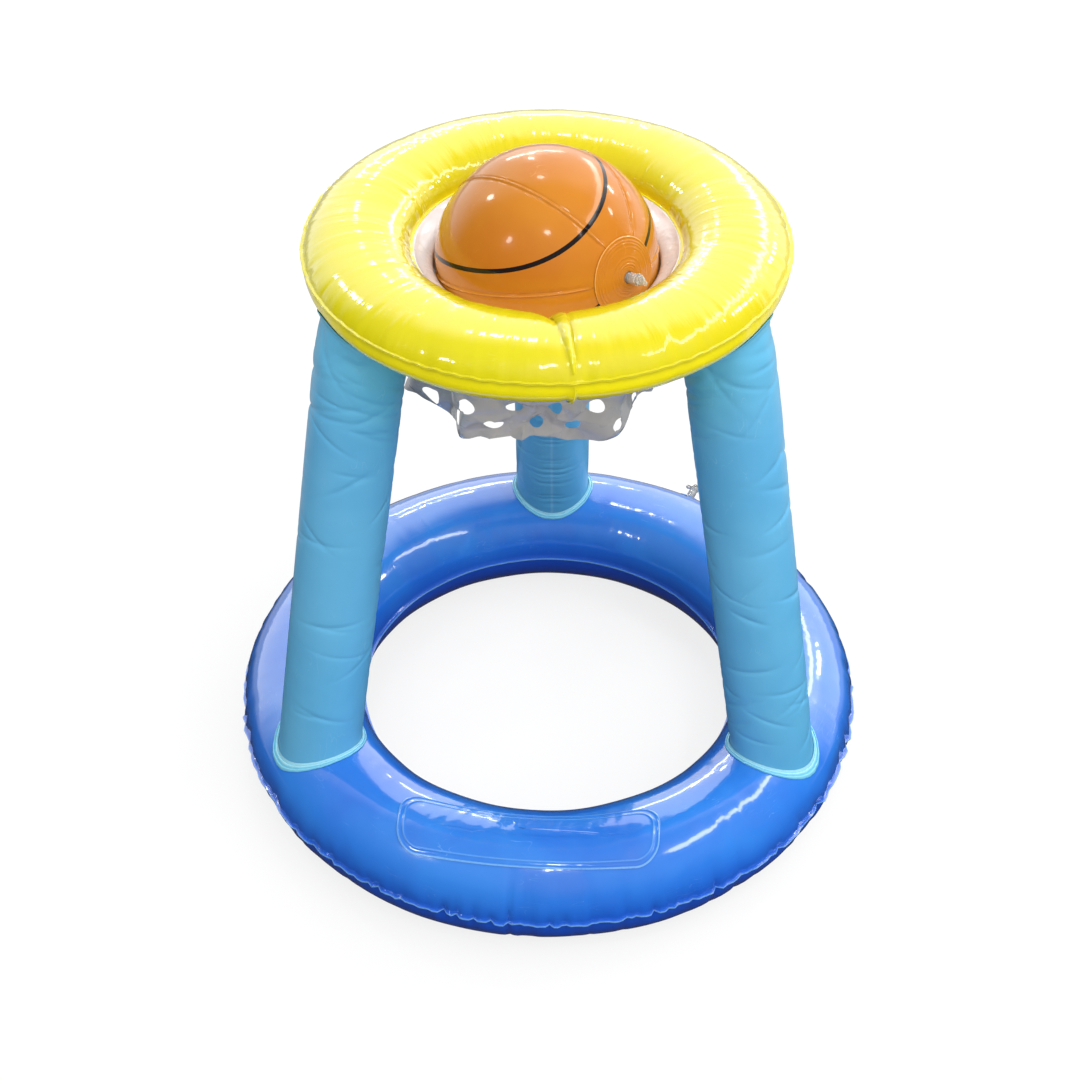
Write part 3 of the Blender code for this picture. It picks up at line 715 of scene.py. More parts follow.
@dataclass(frozen=True)
class FilmFinish:
    """The finish of one printed film: colours, one of them a painted light and shade tone, gloss, ripples in
    metres, and its print if it has one.
    """

    name: str
    film: Colour
    deep: Colour
    pale: Colour
    # A colour of painted light and shade, which each vertex's share blends in.
    under: Colour
    roughness: Pair
    coat: float
    coat_roughness: float
    specular: float
    ripple: float
    ripple_stretch: Triple
    scratch_stretch: Triple
    coat_ior: float = 1.5
    grain: float = 0.00001
    ink: Colour | None = None
    ink_width: float = 0.0021
    ink_edge: float = 0.00012

    def material(self, shared: SharedEffects) -> Material:
        """Builds the material.

        Args:
            shared: The shader groups.

        Returns:
            The material.
        """
        surface = Surface.start(self.name, self.film)
        wiring = surface.wiring
        place = wiring.attribute(PLACE, "Vector")
        tones = [rgba(self.film), rgba(self.pale), rgba(self.deep), wiring.attribute(WELD, "Fac")]
        scratch = surface.handled(shared, place, self.scratch_stretch, self.roughness)
        tone = wiring.node("ShaderNodeGroup", {"node_tree": shared.weld}, place, *tones, scratch)
        # Painted light and shade: blends the film towards its painted colour by each vertex's share.
        colour = wiring.blend(wiring.attribute(PAINTED_LIGHT, "Fac"), tone.outputs[0], rgba(self.under))
        if self.ink is not None:
            colour = wiring.blend(self.ink_mask(wiring), colour, rgba(self.ink))
        normal = surface.rippled(shared, place, self.ripple_stretch, self.ripple, self.grain)
        wiring.fill(
            surface.shader,
            Base_Color=colour,
            Specular_IOR_Level=self.specular,
            Coat_Weight=self.coat,
            Coat_Roughness=self.coat_roughness,
            Coat_IOR=self.coat_ior,
            Normal=normal,
            Coat_Normal=normal,
        )
        return surface.material

    def ink_mask(self, wiring: Wiring) -> Socket:
        """Wires the mask of the printed lines, from each vertex's distances to them.

        Args:
            wiring: The material's wiring.

        Returns:
            The mask.
        """
        low, high = self.ink_width - self.ink_edge, self.ink_width + self.ink_edge
        parts = wiring.node("ShaderNodeSeparateXYZ", None, wiring.attribute(INK, "Vector")).outputs
        first, second, third = (wiring.ramp(wiring.maths("ABSOLUTE", part), high, low) for part in parts)
        return wiring.maths("MAXIMUM", wiring.maths("MAXIMUM", first, second), third)


@dataclass(frozen=True)
class VinylFinish:
    """The finish of the soft clear valves."""

    name: str = "clear_vinyl"
    tint: Colour = (0.99, 0.985, 0.96)
    haze: Colour = (0.97, 0.955, 0.92)
    roughness: Pair = (0.02, 0.09)
    transmission: float = 0.78
    ior: float = 1.45
    ripple: float = 0.00018
    grain: float = 0.00002

    def material(self, shared: SharedEffects) -> Material:
        """Builds the material.

        Args:
            shared: The shader groups.

        Returns:
            The material.
        """
        surface = Surface.start(self.name, self.haze)
        wiring = surface.wiring
        place = wiring.node("ShaderNodeTexCoord").outputs["Object"]
        cloud = wiring.ramp(wiring.noise(place, 260.0, 3.0), 0.4, 0.65)
        surface.handled(shared, place, (300.0, 300.0, 900.0), self.roughness)
        wiring.fill(
            surface.shader,
            Base_Color=wiring.blend(cloud, rgba(self.tint), rgba(self.haze)),
            Transmission_Weight=self.transmission,
            IOR=self.ior,
            Normal=surface.rippled(shared, place, (240.0, 240.0, 240.0), self.ripple, self.grain),
        )
        return surface.material


# The fourth colour of each finish is painted light and shade: painted shade on the base ring's lower skin,
# painted light on the hoop's lower skin, painted shade with yellow bounce light near the legs' heads, painted
# shade on the lower net, and painted bounce light on the ball's lower half. The collar film's fourth colour
# never shows.
BASE_FINISH = FilmFinish(
    name="base_blue_film",
    film=(0.030, 0.225, 0.76), deep=(0.016, 0.165, 0.70), pale=(0.22, 0.50, 0.88), under=(0.004, 0.085, 0.66),
    roughness=(0.16, 0.27), coat=0.95, coat_roughness=0.05, coat_ior=1.7, specular=0.6,
    ripple=0.0007, ripple_stretch=(60.0, 60.0, 14.0), grain=0.000008, scratch_stretch=(40.0, 40.0, 260.0),
)
HOOP_FINISH = FilmFinish(
    name="hoop_yellow_film",
    film=(0.67, 0.605, 0.005), deep=(0.69, 0.59, 0.004), pale=(0.78, 0.74, 0.10), under=(0.99, 0.86, 0.004),
    roughness=(0.15, 0.24), coat=0.6, coat_roughness=0.035, coat_ior=1.7, specular=0.4,
    ripple=0.0012, ripple_stretch=(120.0, 120.0, 18.0), grain=0.000008, scratch_stretch=(40.0, 40.0, 260.0),
)
LEG_FINISH = FilmFinish(
    name="leg_pale_blue_film",
    film=(0.130, 0.46, 0.74), deep=(0.100, 0.41, 0.70), pale=(0.34, 0.66, 0.84), under=(0.075, 0.44, 0.56),
    roughness=(0.34, 0.46), coat=0.12, coat_roughness=0.22, specular=0.4,
    ripple=0.0006, ripple_stretch=(34.0, 34.0, 70.0), scratch_stretch=(150.0, 150.0, 46.0),
)
COLLAR_FINISH = FilmFinish(
    name="collar_pale_cyan_film",
    film=(0.20, 0.62, 0.82), deep=(0.16, 0.56, 0.78), pale=(0.52, 0.84, 0.92), under=(0.16, 0.56, 0.78),
    roughness=(0.24, 0.36), coat=0.35, coat_roughness=0.12, specular=0.5,
    ripple=0.0003, ripple_stretch=(150.0, 150.0, 150.0), scratch_stretch=(90.0, 90.0, 90.0),
)
NET_FINISH = FilmFinish(
    name="net_white_film",
    film=(0.95, 0.94, 0.95), deep=(0.90, 0.89, 0.90), pale=(0.97, 0.96, 0.97), under=(0.50, 0.48, 0.485),
    roughness=(0.26, 0.38), coat=0.7, coat_roughness=0.12, specular=0.5,
    ripple=0.0012, ripple_stretch=(70.0, 70.0, 70.0), scratch_stretch=(80.0, 80.0, 80.0),
)
BALL_FINISH = FilmFinish(
    name="ball_orange_film",
    film=(0.56, 0.205, 0.020), deep=(0.52, 0.165, 0.013), pale=(0.86, 0.42, 0.12), under=(0.70, 0.28, 0.012),
    roughness=(0.15, 0.25), coat=0.34, coat_roughness=0.03, specular=0.2, ink=(0.012, 0.008, 0.008),
    ripple=0.0003, ripple_stretch=(55.0, 55.0, 55.0), grain=0.000008, scratch_stretch=(60.0, 60.0, 180.0),
)


# The inflated rings


@dataclass(frozen=True)
class Puckers:
    """Short creases that run out from a seam where the film is gathered.

    Spacing and width are in metres along the seam, depth in metres, and reach in degrees of
    the tube's section. A share of the creases is long and reaches much further.
    """

    seed: int
    spacing: Pair
    depth: Pair
    width: Pair
    reach: Pair
    long_share: float = 0.0
    long_reach: float = 60.0

    def creases(self, radius: float) -> Array:
        """Draws the creases of a seam.

        Args:
            radius: The seam's radius.

        Returns:
            Rows of azimuth, depth, width as an angle, and reach.
        """
        draw = np.random.default_rng(self.seed)
        rows = []
        azimuth = -math.pi
        while azimuth < math.pi - self.spacing[0] / radius:
            long_one = draw.random() < self.long_share
            reach = radians(self.long_reach if long_one else draw.uniform(*self.reach))
            depth = draw.uniform(*self.depth)
            width = draw.uniform(*self.width) / radius
            rows.append((azimuth, depth, width, reach * (0.8 + 0.4 * draw.random())))
            azimuth += draw.uniform(*self.spacing) / radius
        return np.array(rows)

    def depth_at(self, azimuth: Array, off_seam: Array, radius: float) -> Array:
        """How far the film is drawn in.

        Args:
            azimuth: The azimuths of the points.
            off_seam: Their section angles from the seam.
            radius: The seam's radius.

        Returns:
            The depth at each point.
        """
        total = np.zeros_like(azimuth)
        for place, depth, width, reach in self.creases(radius):
            fade = np.clip(1 - off_seam / reach, 0, 1)
            near = fade > 0
            across = np.abs(turn_between(azimuth[near], place)) / (width * (0.6 + 0.9 * (1 - fade[near])))
            total[near] += depth * fade[near] ** 1.4 / np.cosh(np.minimum(across, 20))
        return total


@dataclass(frozen=True)
class Pleat:
    """The gathered cross weld of a ring: a tuck between a soft crease and a sharp one."""

    azimuth: float
    inner_width: float = 0.0210
    outer_width: float = 0.0024
    lean: float = 0.011
    soft_depth: float = 0.0044
    sharp_depth: float = 0.0060
    soft_width: float = 0.0036
    sharp_width: float = 0.0016
    rise: float = 0.0022
    notch: float = 0.0052
    notch_width: float = 0.0080
    tip: float = 0.0018

    def shift(self, share: Array | float) -> Array | float:
        """How far the tuck's middle stands along the ring, as it leans over the tube."""
        return self.lean * (0.5 - share)

    def across(self, azimuth: Array, share: Array | float, radius: Array | float) -> Array:
        """The distance from the tuck's middle along the ring."""
        return turn_between(azimuth, radians(self.azimuth)) * radius - self.shift(share)

    def width(self, share: Array) -> Array:
        """The tuck's width, by the share of the way from the outer seam to the inner one."""
        return self.outer_width + (self.inner_width - self.outer_width) * share

    def lift(self, azimuth: Array, share: Array, radius: Array, below: bool) -> Array:
        """How far the pleat lifts or draws in the skin.

        Args:
            azimuth: The azimuths of the points.
            share: Their shares of the way from the outer seam to the inner one.
            radius: Their distances from the ring's axis.
            below: Whether they lie on the lower skin.

        Returns:
            The lift of each point.
        """
        x = self.across(azimuth, share, radius)
        half = self.width(share) / 2
        soft = self.soft_depth * np.exp(-np.abs(x + half) / self.soft_width)
        sharp = self.sharp_depth * np.exp(-np.abs(x - half) / self.sharp_width)
        rim = ease(share, 0.40, 0.65)
        sharp = sharp * (1 - 0.6 * rim)
        raised = self.rise * (1 - rim) * bell(x, 0.8 * half + 0.001)
        seam_end = ease(share, 0.0, 0.06)
        lift = (raised - (soft + sharp) * (0.35 + 0.65 * share)) * (0.4 + 0.6 * seam_end)
        lift -= self.notch * np.exp(-np.abs(x + half) / self.notch_width) * ease(share, 0.45, 0.80)
        if below:
            lift += self.tip * bell(x, 0.004) * ease(share, 0.35, 0.08)
        return lift


@dataclass(frozen=True)
class InflatedRing:
    """An inflated ring round the Z axis: its section, and the relief of its film."""

    outer_diameter: float
    tube_width: float
    tube_height: float
    crown_height: float
    foot_width: float
    puckers: tuple[Puckers, ...]
    inner_puckers: tuple[Puckers, ...]
    wave_seed: int
    wave: float
    seam_wave: float
    ripple: float
    seam_angle: float = 0.0
    # The sines of the section angle over which the painted light and shade fades in towards the lower skin.
    under_span: Pair = (0.7, -0.3)
    calm: tuple[Pair, ...] = ()
    calm_side: int = 1
    pleat: Pleat | None = None

    @property
    def seam(self) -> float:
        """The section angle of the outer seam."""
        return radians(self.seam_angle)

    @property
    def half_width(self) -> float:
        """Half the tube's width."""
        return self.tube_width / 2

    @property
    def radius(self) -> float:
        """The radius of the tube's centre line."""
        return self.outer_diameter / 2 - self.half_width

    @property
    def half_height(self) -> float:
        """Half the height of the tube's whole ellipse, of which the foot cuts off a little."""
        return self.tube_height / (1 + math.sqrt(1 - (self.foot_width / self.tube_width) ** 2))

    @property
    def mid(self) -> float:
        """The height of the tube's centre line."""
        return self.crown_height - self.half_height

    def normal(self, angle: Array) -> tuple[Array, Array]:
        """The outward direction of the section, as its radial and upward parts."""
        size = np.hypot(np.cos(angle) / self.half_width, np.sin(angle) / self.half_height)
        return np.cos(angle) / self.half_width / size, np.sin(angle) / self.half_height / size

    def slow_wave(self, azimuth: Array, seed_step: int, first: int, last: int) -> Array:
        """A seamless uneven wave round the ring, about one high at most.

        Args:
            azimuth: The azimuths of the points.
            seed_step: Which of the ring's waves it is.
            first: The fewest periods of its parts round the ring.
            last: The most.

        Returns:
            The wave at each point.
        """
        draw = np.random.default_rng(self.wave_seed + seed_step)
        total = np.zeros_like(azimuth)
        for _ in range(7):
            total += np.cos(azimuth * draw.integers(first, last + 1) + draw.uniform(0, FULL_TURN))
        return total / 4

    def relief(self, azimuth: Array, angle: Array) -> Array:
        """How far the film stands off the plain section.

        Args:
            azimuth: The azimuths of the points.
            angle: Their section angles, below 0 on the lower skin.

        Returns:
            The lift of each point, mostly below 0.
        """
        off_outer = np.abs(angle - self.seam)
        off_inner = math.pi - np.abs(angle)
        lift = np.zeros_like(azimuth)
        for puckers in self.puckers:
            lift -= puckers.depth_at(azimuth, off_outer, self.radius + self.half_width)
        for puckers in self.inner_puckers:
            lift -= puckers.depth_at(azimuth, off_inner, self.radius - self.half_width)
        still = np.zeros_like(azimuth)
        for place, half in self.calm:
            apart = np.abs(turn_between(azimuth, radians(place)))
            still = np.maximum(still, ease(apart, 1.5 * half, half))
        still *= ease(off_outer, 0.25, 0.6) * ease(off_inner, 0.25, 0.6)
        still *= self.calm_side * (angle - self.seam) > 0
        below = self.wave * (self.slow_wave(azimuth, 1, 5, 17) - 1) / 2
        fine = self.ripple * self.slow_wave(azimuth + 0.12 * np.cos(angle), 2, 70, 150) * np.sin(angle) ** 2
        lift = lift * (1 - still) + (below + fine) * (1 - 0.95 * still)
        if self.pleat is not None:
            radius = self.radius + self.half_width * np.cos(angle)
            share = off_outer / (off_outer + off_inner)
            lift += self.pleat.lift(azimuth, share, radius, bool(np.mean(angle) < 0))
        return lift

    def seam_shift(self, azimuth: Array, angle: Array) -> Array:
        """How far the wavy outer seam is above or below its level, fading along the skin."""
        return self.seam_wave * self.slow_wave(azimuth, 3, 24, 95) * bell(angle - self.seam, 0.32)

    def surface(self, azimuth: Array, angle: Array, lift: Array | float = 0.0) -> Array:
        """The points of the film.

        Args:
            azimuth: Their azimuths.
            angle: Their section angles.
            lift: How far they stand off the film.

        Returns:
            The points as rows of three.
        """
        out, rise = self.normal(angle)
        off = lift + self.relief(azimuth, angle)
        radius = self.radius + self.half_width * np.cos(angle) + off * out
        height = self.mid + self.half_height * np.sin(angle) + off * rise + self.seam_shift(azimuth, angle)
        return around_axis(radius, azimuth, np.maximum(height, 0.0))

    def meet(self, start: Array, end: Array, lift: Array | float) -> Array:
        """Where lines from outside to inside meet the plain skin, grown by a lift.

        Args:
            start: Their points outside.
            end: Their points inside.
            lift: How far the skin is grown.

        Returns:
            The meeting points.
        """
        outside, inside = start.copy(), end.copy()
        for _ in range(18):
            half = (outside + inside) / 2
            across = (np.hypot(half[:, 0], half[:, 1]) - self.radius) / (self.half_width + lift)
            up = (half[:, 2] - self.mid) / (self.half_height + lift)
            held = (across**2 + up**2 < 1)[:, None]
            inside = np.where(held, half, inside)
            outside = np.where(held, outside, half)
        return outside

    def pace(self, angle: float) -> Pair:
        """The distance from the axis at a section angle, and the arc there for each radian of it."""
        across, up = self.half_width * math.sin(angle), self.half_height * math.cos(angle)
        return self.radius + self.half_width * math.cos(angle), math.hypot(across, up)

    def place_values(self, azimuth: Array, angle: Array) -> Array:
        """The film's own place: round the ring in X and Y, and along the section in Z."""
        return around_axis(self.radius, azimuth, angle * (self.half_width + self.half_height) / 2)

    def middles(self, obj: Object) -> Array:
        """The points of the tube's centre line next to a sheet's faces."""
        x, y, _ = face_centres(obj).T
        return around_axis(self.radius, np.arctan2(y, x), np.full(len(x), self.mid))


@dataclass
class RingSkins:
    """The two skins of an inflated ring, which meet in lips at the inner and the outer seam."""

    prefix: str
    ring: InflatedRing
    material: Material
    slot: Slot
    inner_gap: float
    valve: Pair
    sections: int
    rounds: int = 1000
    weld_band: float = 0.0007
    lip_tone: float = 1.0
    crowding: float = 1.28
    lip_steps: int = 2
    front: float = -90.0
    front_crowding: float = 0.5
    valve_hole: float = 0.0080

    def fold(self, seam: float, gap: float, side: int) -> float:
        """The section angle at which a skin, above the seam for 1, turns into its lip."""
        return math.asin(math.sin(seam) + side * (gap / 2 + FILM) / self.ring.half_height)

    def shell(self, half: Half) -> None:
        """Models one skin.

        Args:
            half: Which half it covers.
        """
        part = f"{self.prefix}_{half.name.lower()}"
        sizes = {"major_segments": self.rounds, "minor_segments": 2 * self.sections}
        radii = {"major_radius": self.ring.radius, "minor_radius": self.ring.half_width}
        obj = add(bpy.ops.mesh.primitive_torus_add, f"{part}_film", **sizes, **radii)
        with editing(obj, "VERT") as bm:
            pick(obj, bm.verts, lambda vert: vert.co.z * half.value < -MERGE)
            bpy.ops.mesh.delete(type="VERT")
        for side in (1, -1):
            self.lip(obj, side)
        gone = self.settle(obj, half)
        with editing(obj, "VERT") as bm:
            pick(obj, bm.verts, lambda vert: bool(gone[vert.index]))
            bpy.ops.mesh.delete(type="VERT")
        face_away(obj, self.ring.middles(obj))
        thicken(obj, FILM)
        dress(obj, self.material, self.slot, f"{part}_skin")

    def lip(self, obj: Object, side: int) -> None:
        """Draws out the lip of one seam.

        Args:
            obj: The half torus.
            side: 1 for the outer seam, -1 for the inner one.
        """
        rim = self.ring.radius + side * self.ring.half_width
        step = side * SEAM_LIP / self.lip_steps

        def on_rim(edge: bmesh.types.BMEdge) -> bool:
            """Whether an edge lies on this seam."""
            return edge.is_boundary and side * (edge_middle(edge).xy.length - self.ring.radius) > 0

        with editing(obj) as bm:
            pick(obj, bm.edges, on_rim)
            for number in range(self.lip_steps):
                extrude_ring(1 + step / (rim + step * number))

    def bore(self, obj: Object, azimuth: Array, angle: Array) -> Array:
        """Draws the cells next to the valve back to a round hole, which the valve's disc covers.

        Args:
            obj: The shell.
            azimuth: The azimuths of its vertices, which are changed at the hole's rim.
            angle: Their section angles, changed likewise.

        Returns:
            Which vertices lie inside the hole and are to go.
        """
        first, second = (radians(value) for value in self.valve)
        radius, speed = self.ring.pace(second)
        across, up = turn_between(azimuth, first) * radius, (angle - second) * speed
        reach = np.hypot(across, up)
        inside = reach < self.valve_hole
        cells = np.array([cell.vertices[:] for cell in obj.data.polygons])
        rim = np.zeros_like(inside)
        rim[cells[inside[cells].any(axis=1)]] = True
        rim &= ~inside
        share = self.valve_hole / reach[rim]
        azimuth[rim] = first + across[rim] * share / radius
        angle[rim] = second + up[rim] * share / speed
        return inside

    def settle(self, obj: Object, half: Half) -> Array:
        """Gives a shell its real section, its relief and its attributes.

        Args:
            obj: The shell, still a plain torus with lips.
            half: Which half it covers.

        Returns:
            Which vertices lie inside the valve's hole.
        """
        ring = self.ring
        x, y, z = points_of(obj).T
        azimuth = np.arctan2(y, x)
        azimuth -= self.front_crowding * np.sin(azimuth - radians(self.front))
        across = np.hypot(x, y) - ring.radius
        turned = np.clip(np.arctan2(np.abs(z), across) / math.pi, 0, 1)
        outer = self.fold(ring.seam, CLEARANCE, half.value)
        inner = half.value * (math.pi - self.fold(0.0, self.inner_gap, 1))
        angle = outer + (inner - outer) * turned**self.crowding
        gone = self.bore(obj, azimuth, angle)
        points = ring.surface(azimuth, angle)
        reach = np.maximum(np.abs(across) - ring.half_width, 0)
        lip = reach > MERGE
        outwards = np.where(lip, np.where(across > 0, 1, -1) * reach, 0)
        move_points(obj, points + around_axis(outwards, azimuth, 0 * outwards))
        arc = np.minimum(np.abs(angle - ring.seam), math.pi - np.abs(angle)) * ring.half_height
        edge = ease(reach, 0.35 * SEAM_LIP, 0.85 * SEAM_LIP)
        root = 0.5 * ease(arc, 2.2 * self.weld_band, self.weld_band)
        # Painted light and shade on the lower skin, kept off the seams' lips.
        under = ease(np.sin(angle), *ring.under_span) * (1 - 0.9 * edge)
        mark(obj, ring.place_values(azimuth, angle), self.lip_tone * np.where(lip, edge, root), under)
        return gone


# Base ring


@dataclass
class BaseRing:
    """The blue ring that floats, with its front patch."""

    material: Material
    legs: tuple[float, ...]
    patch_length: float = 0.256
    patch_width: float = 0.063
    patch_corner_radius: float = 0.022
    patch_bend_radius: float = 0.49
    patch_crown_offset: float = 0.003
    patch_film: float = 0.0004
    patch_azimuth: float = -93.2
    patch_weld_inset: float = 0.0062
    patch_ridge: float = 0.00055
    ring: InflatedRing = field(init=False)

    def __post_init__(self) -> None:
        """Sets up the ring's section and relief."""
        self.ring = InflatedRing(
            outer_diameter=0.660,
            tube_width=0.130,
            tube_height=0.115,
            crown_height=0.115,
            foot_width=0.036,
            puckers=(
                Puckers(11, (0.008, 0.019), (0.0018, 0.0062), (0.0013, 0.0026), (14, 46), 0.14, 66),
                Puckers(12, (0.030, 0.085), (0.0010, 0.0022), (0.0040, 0.0075), (18, 44)),
            ),
            inner_puckers=(Puckers(13, (0.05, 0.12), (0.0002, 0.0006), (0.004, 0.008), (12, 30)),),
            wave_seed=20,
            wave=0.0012,
            seam_wave=0.0010,
            ripple=0.00005,
            calm=tuple((azimuth, 0.20) for azimuth in self.legs),
        )

    def build(self) -> None:
        """Models the two skins and the patch."""
        skins = RingSkins("base", self.ring, self.material, Slot.BASE, CLEARANCE, BASE_VALVE, 44)
        for half in Half:
            skins.shell(half)
        self.patch()

    def patch(self) -> None:
        """Models the rounded patch with its double weld line."""
        obj, phase, inwards = disc_canvas("base_front_patch_film", 360, 30, False)
        fine = [0, 0.02, 0.04, 0.06, 0.08, 0.11, 0.14, 0.165, 0.185, 0.205, 0.225, 0.25, 0.28, 0.32]
        shares = np.concatenate([fine, np.linspace(0.36, 1, 31 - len(fine))])
        share = np.interp(inwards * 30, np.arange(31), shares)
        along, across = self.patch_outline(phase, share)
        edge = share * self.patch_width / 2
        ridges = bell(edge - 0.0011, 0.0007) + bell(edge - self.patch_weld_inset, 0.0007)
        sunk = -0.00025 * ease(edge, 0.0014, 0.0022) * ease(edge, 0.0056, 0.0048)
        lift = SEAT_LIFT + self.patch_film + self.patch_ridge * ridges + sunk
        move_points(obj, self.on_crown(along, across, lift + 0.0006 * ease(edge, 0.006, 0.020)))
        merge_doubles(obj)
        points = points_of(obj)
        # The patch takes the ring's painted shade by its height on the tube.
        rise = (points[:, 2] - self.ring.mid) / self.ring.half_height
        mark(obj, points, self.patch_weld(points), ease(rise, *self.ring.under_span))
        face_away(obj, self.ring.middles(obj))
        thicken(obj, self.patch_film)
        dress(obj, self.material, Slot.BASE, "base_front_patch")

    def patch_outline(self, phase: Array, share: Array) -> tuple[Array, Array]:
        """Places the patch's canvas in its flat rounded rectangle.

        Args:
            phase: The phases of the canvas's points.
            share: Their shares of the way in from the outline to the middle line.

        Returns:
            Their places along and across the patch.
        """
        half_length, half_width = self.patch_length / 2, self.patch_width / 2
        corner = self.patch_corner_radius
        rise = half_width - corner
        quarter = half_length - corner + rise + corner * math.pi / 2
        walked = (phase % (math.pi / 2)) / (math.pi / 2) * quarter
        number = (phase % FULL_TURN) // (math.pi / 2)
        walked = np.where(number % 2 == 1, quarter - walked, walked)
        turn = np.clip((walked - rise) / corner, 0, math.pi / 2)
        x = half_length - corner + corner * np.cos(turn) - np.maximum(walked - rise - corner * math.pi / 2, 0)
        y = np.minimum(walked, rise) + corner * np.sin(turn)
        x = np.where((number == 1) | (number == 2), -x, x)
        y = np.where(number >= 2, -y, y)
        line = np.clip(x, half_width - half_length, half_length - half_width)
        return x + (line - x) * share, y * (1 - share)

    def patch_axes(self) -> tuple[Vector, Vector]:
        """The level directions outwards and along the patch."""
        azimuth = radians(self.patch_azimuth)
        return level(azimuth), level(azimuth + math.pi / 2)

    def on_crown(self, along: Array, across: Array, lift: Array) -> Array:
        """Puts points of the flat patch on the ring's film.

        Args:
            along: Their places along the patch.
            across: Their places across it, outwards.
            lift: How far they stand off the film.

        Returns:
            The points.
        """
        out, side = self.patch_axes()
        reach = self.ring.radius + self.patch_crown_offset + across - along**2 / (2 * self.patch_bend_radius)
        x, y = out.x * reach + side.x * along, out.y * reach + side.y * along
        angle = np.arccos((np.hypot(x, y) - self.ring.radius) / self.ring.half_width)
        return self.ring.surface(np.arctan2(y, x), angle, lift)

    def patch_weld(self, points: Array) -> Array:
        """The weld mask of the patch: its rim and the line inside it.

        Args:
            points: The patch's points.

        Returns:
            The mask at each point.
        """
        out, side = self.patch_axes()
        along = points[:, 0] * side.x + points[:, 1] * side.y
        reach = points[:, 0] * out.x + points[:, 1] * out.y
        across = reach - self.ring.radius - self.patch_crown_offset + along**2 / (2 * self.patch_bend_radius)
        off_end = self.patch_length / 2 - np.abs(along)
        off_side = self.patch_width / 2 - np.abs(across)
        corner = self.patch_corner_radius
        past = np.hypot(np.maximum(corner - off_end, 0), np.maximum(corner - off_side, 0))
        edge = np.where(past > 0, corner - past, np.minimum(off_end, off_side))
        line = bell(edge - self.patch_weld_inset, 0.0006)
        return np.clip(0.75 * ease(edge, 0.0016, 0.0004) + 0.5 * line, 0, 1)


# Legs


@dataclass(frozen=True)
class Collar:
    """The sizes and tones of a beaded weld collar, its share of painted shade and bounce light, and the seed
    of its unevenness.
    """

    width: float
    height: float
    bead: float
    weld: float
    under: float
    seed: int


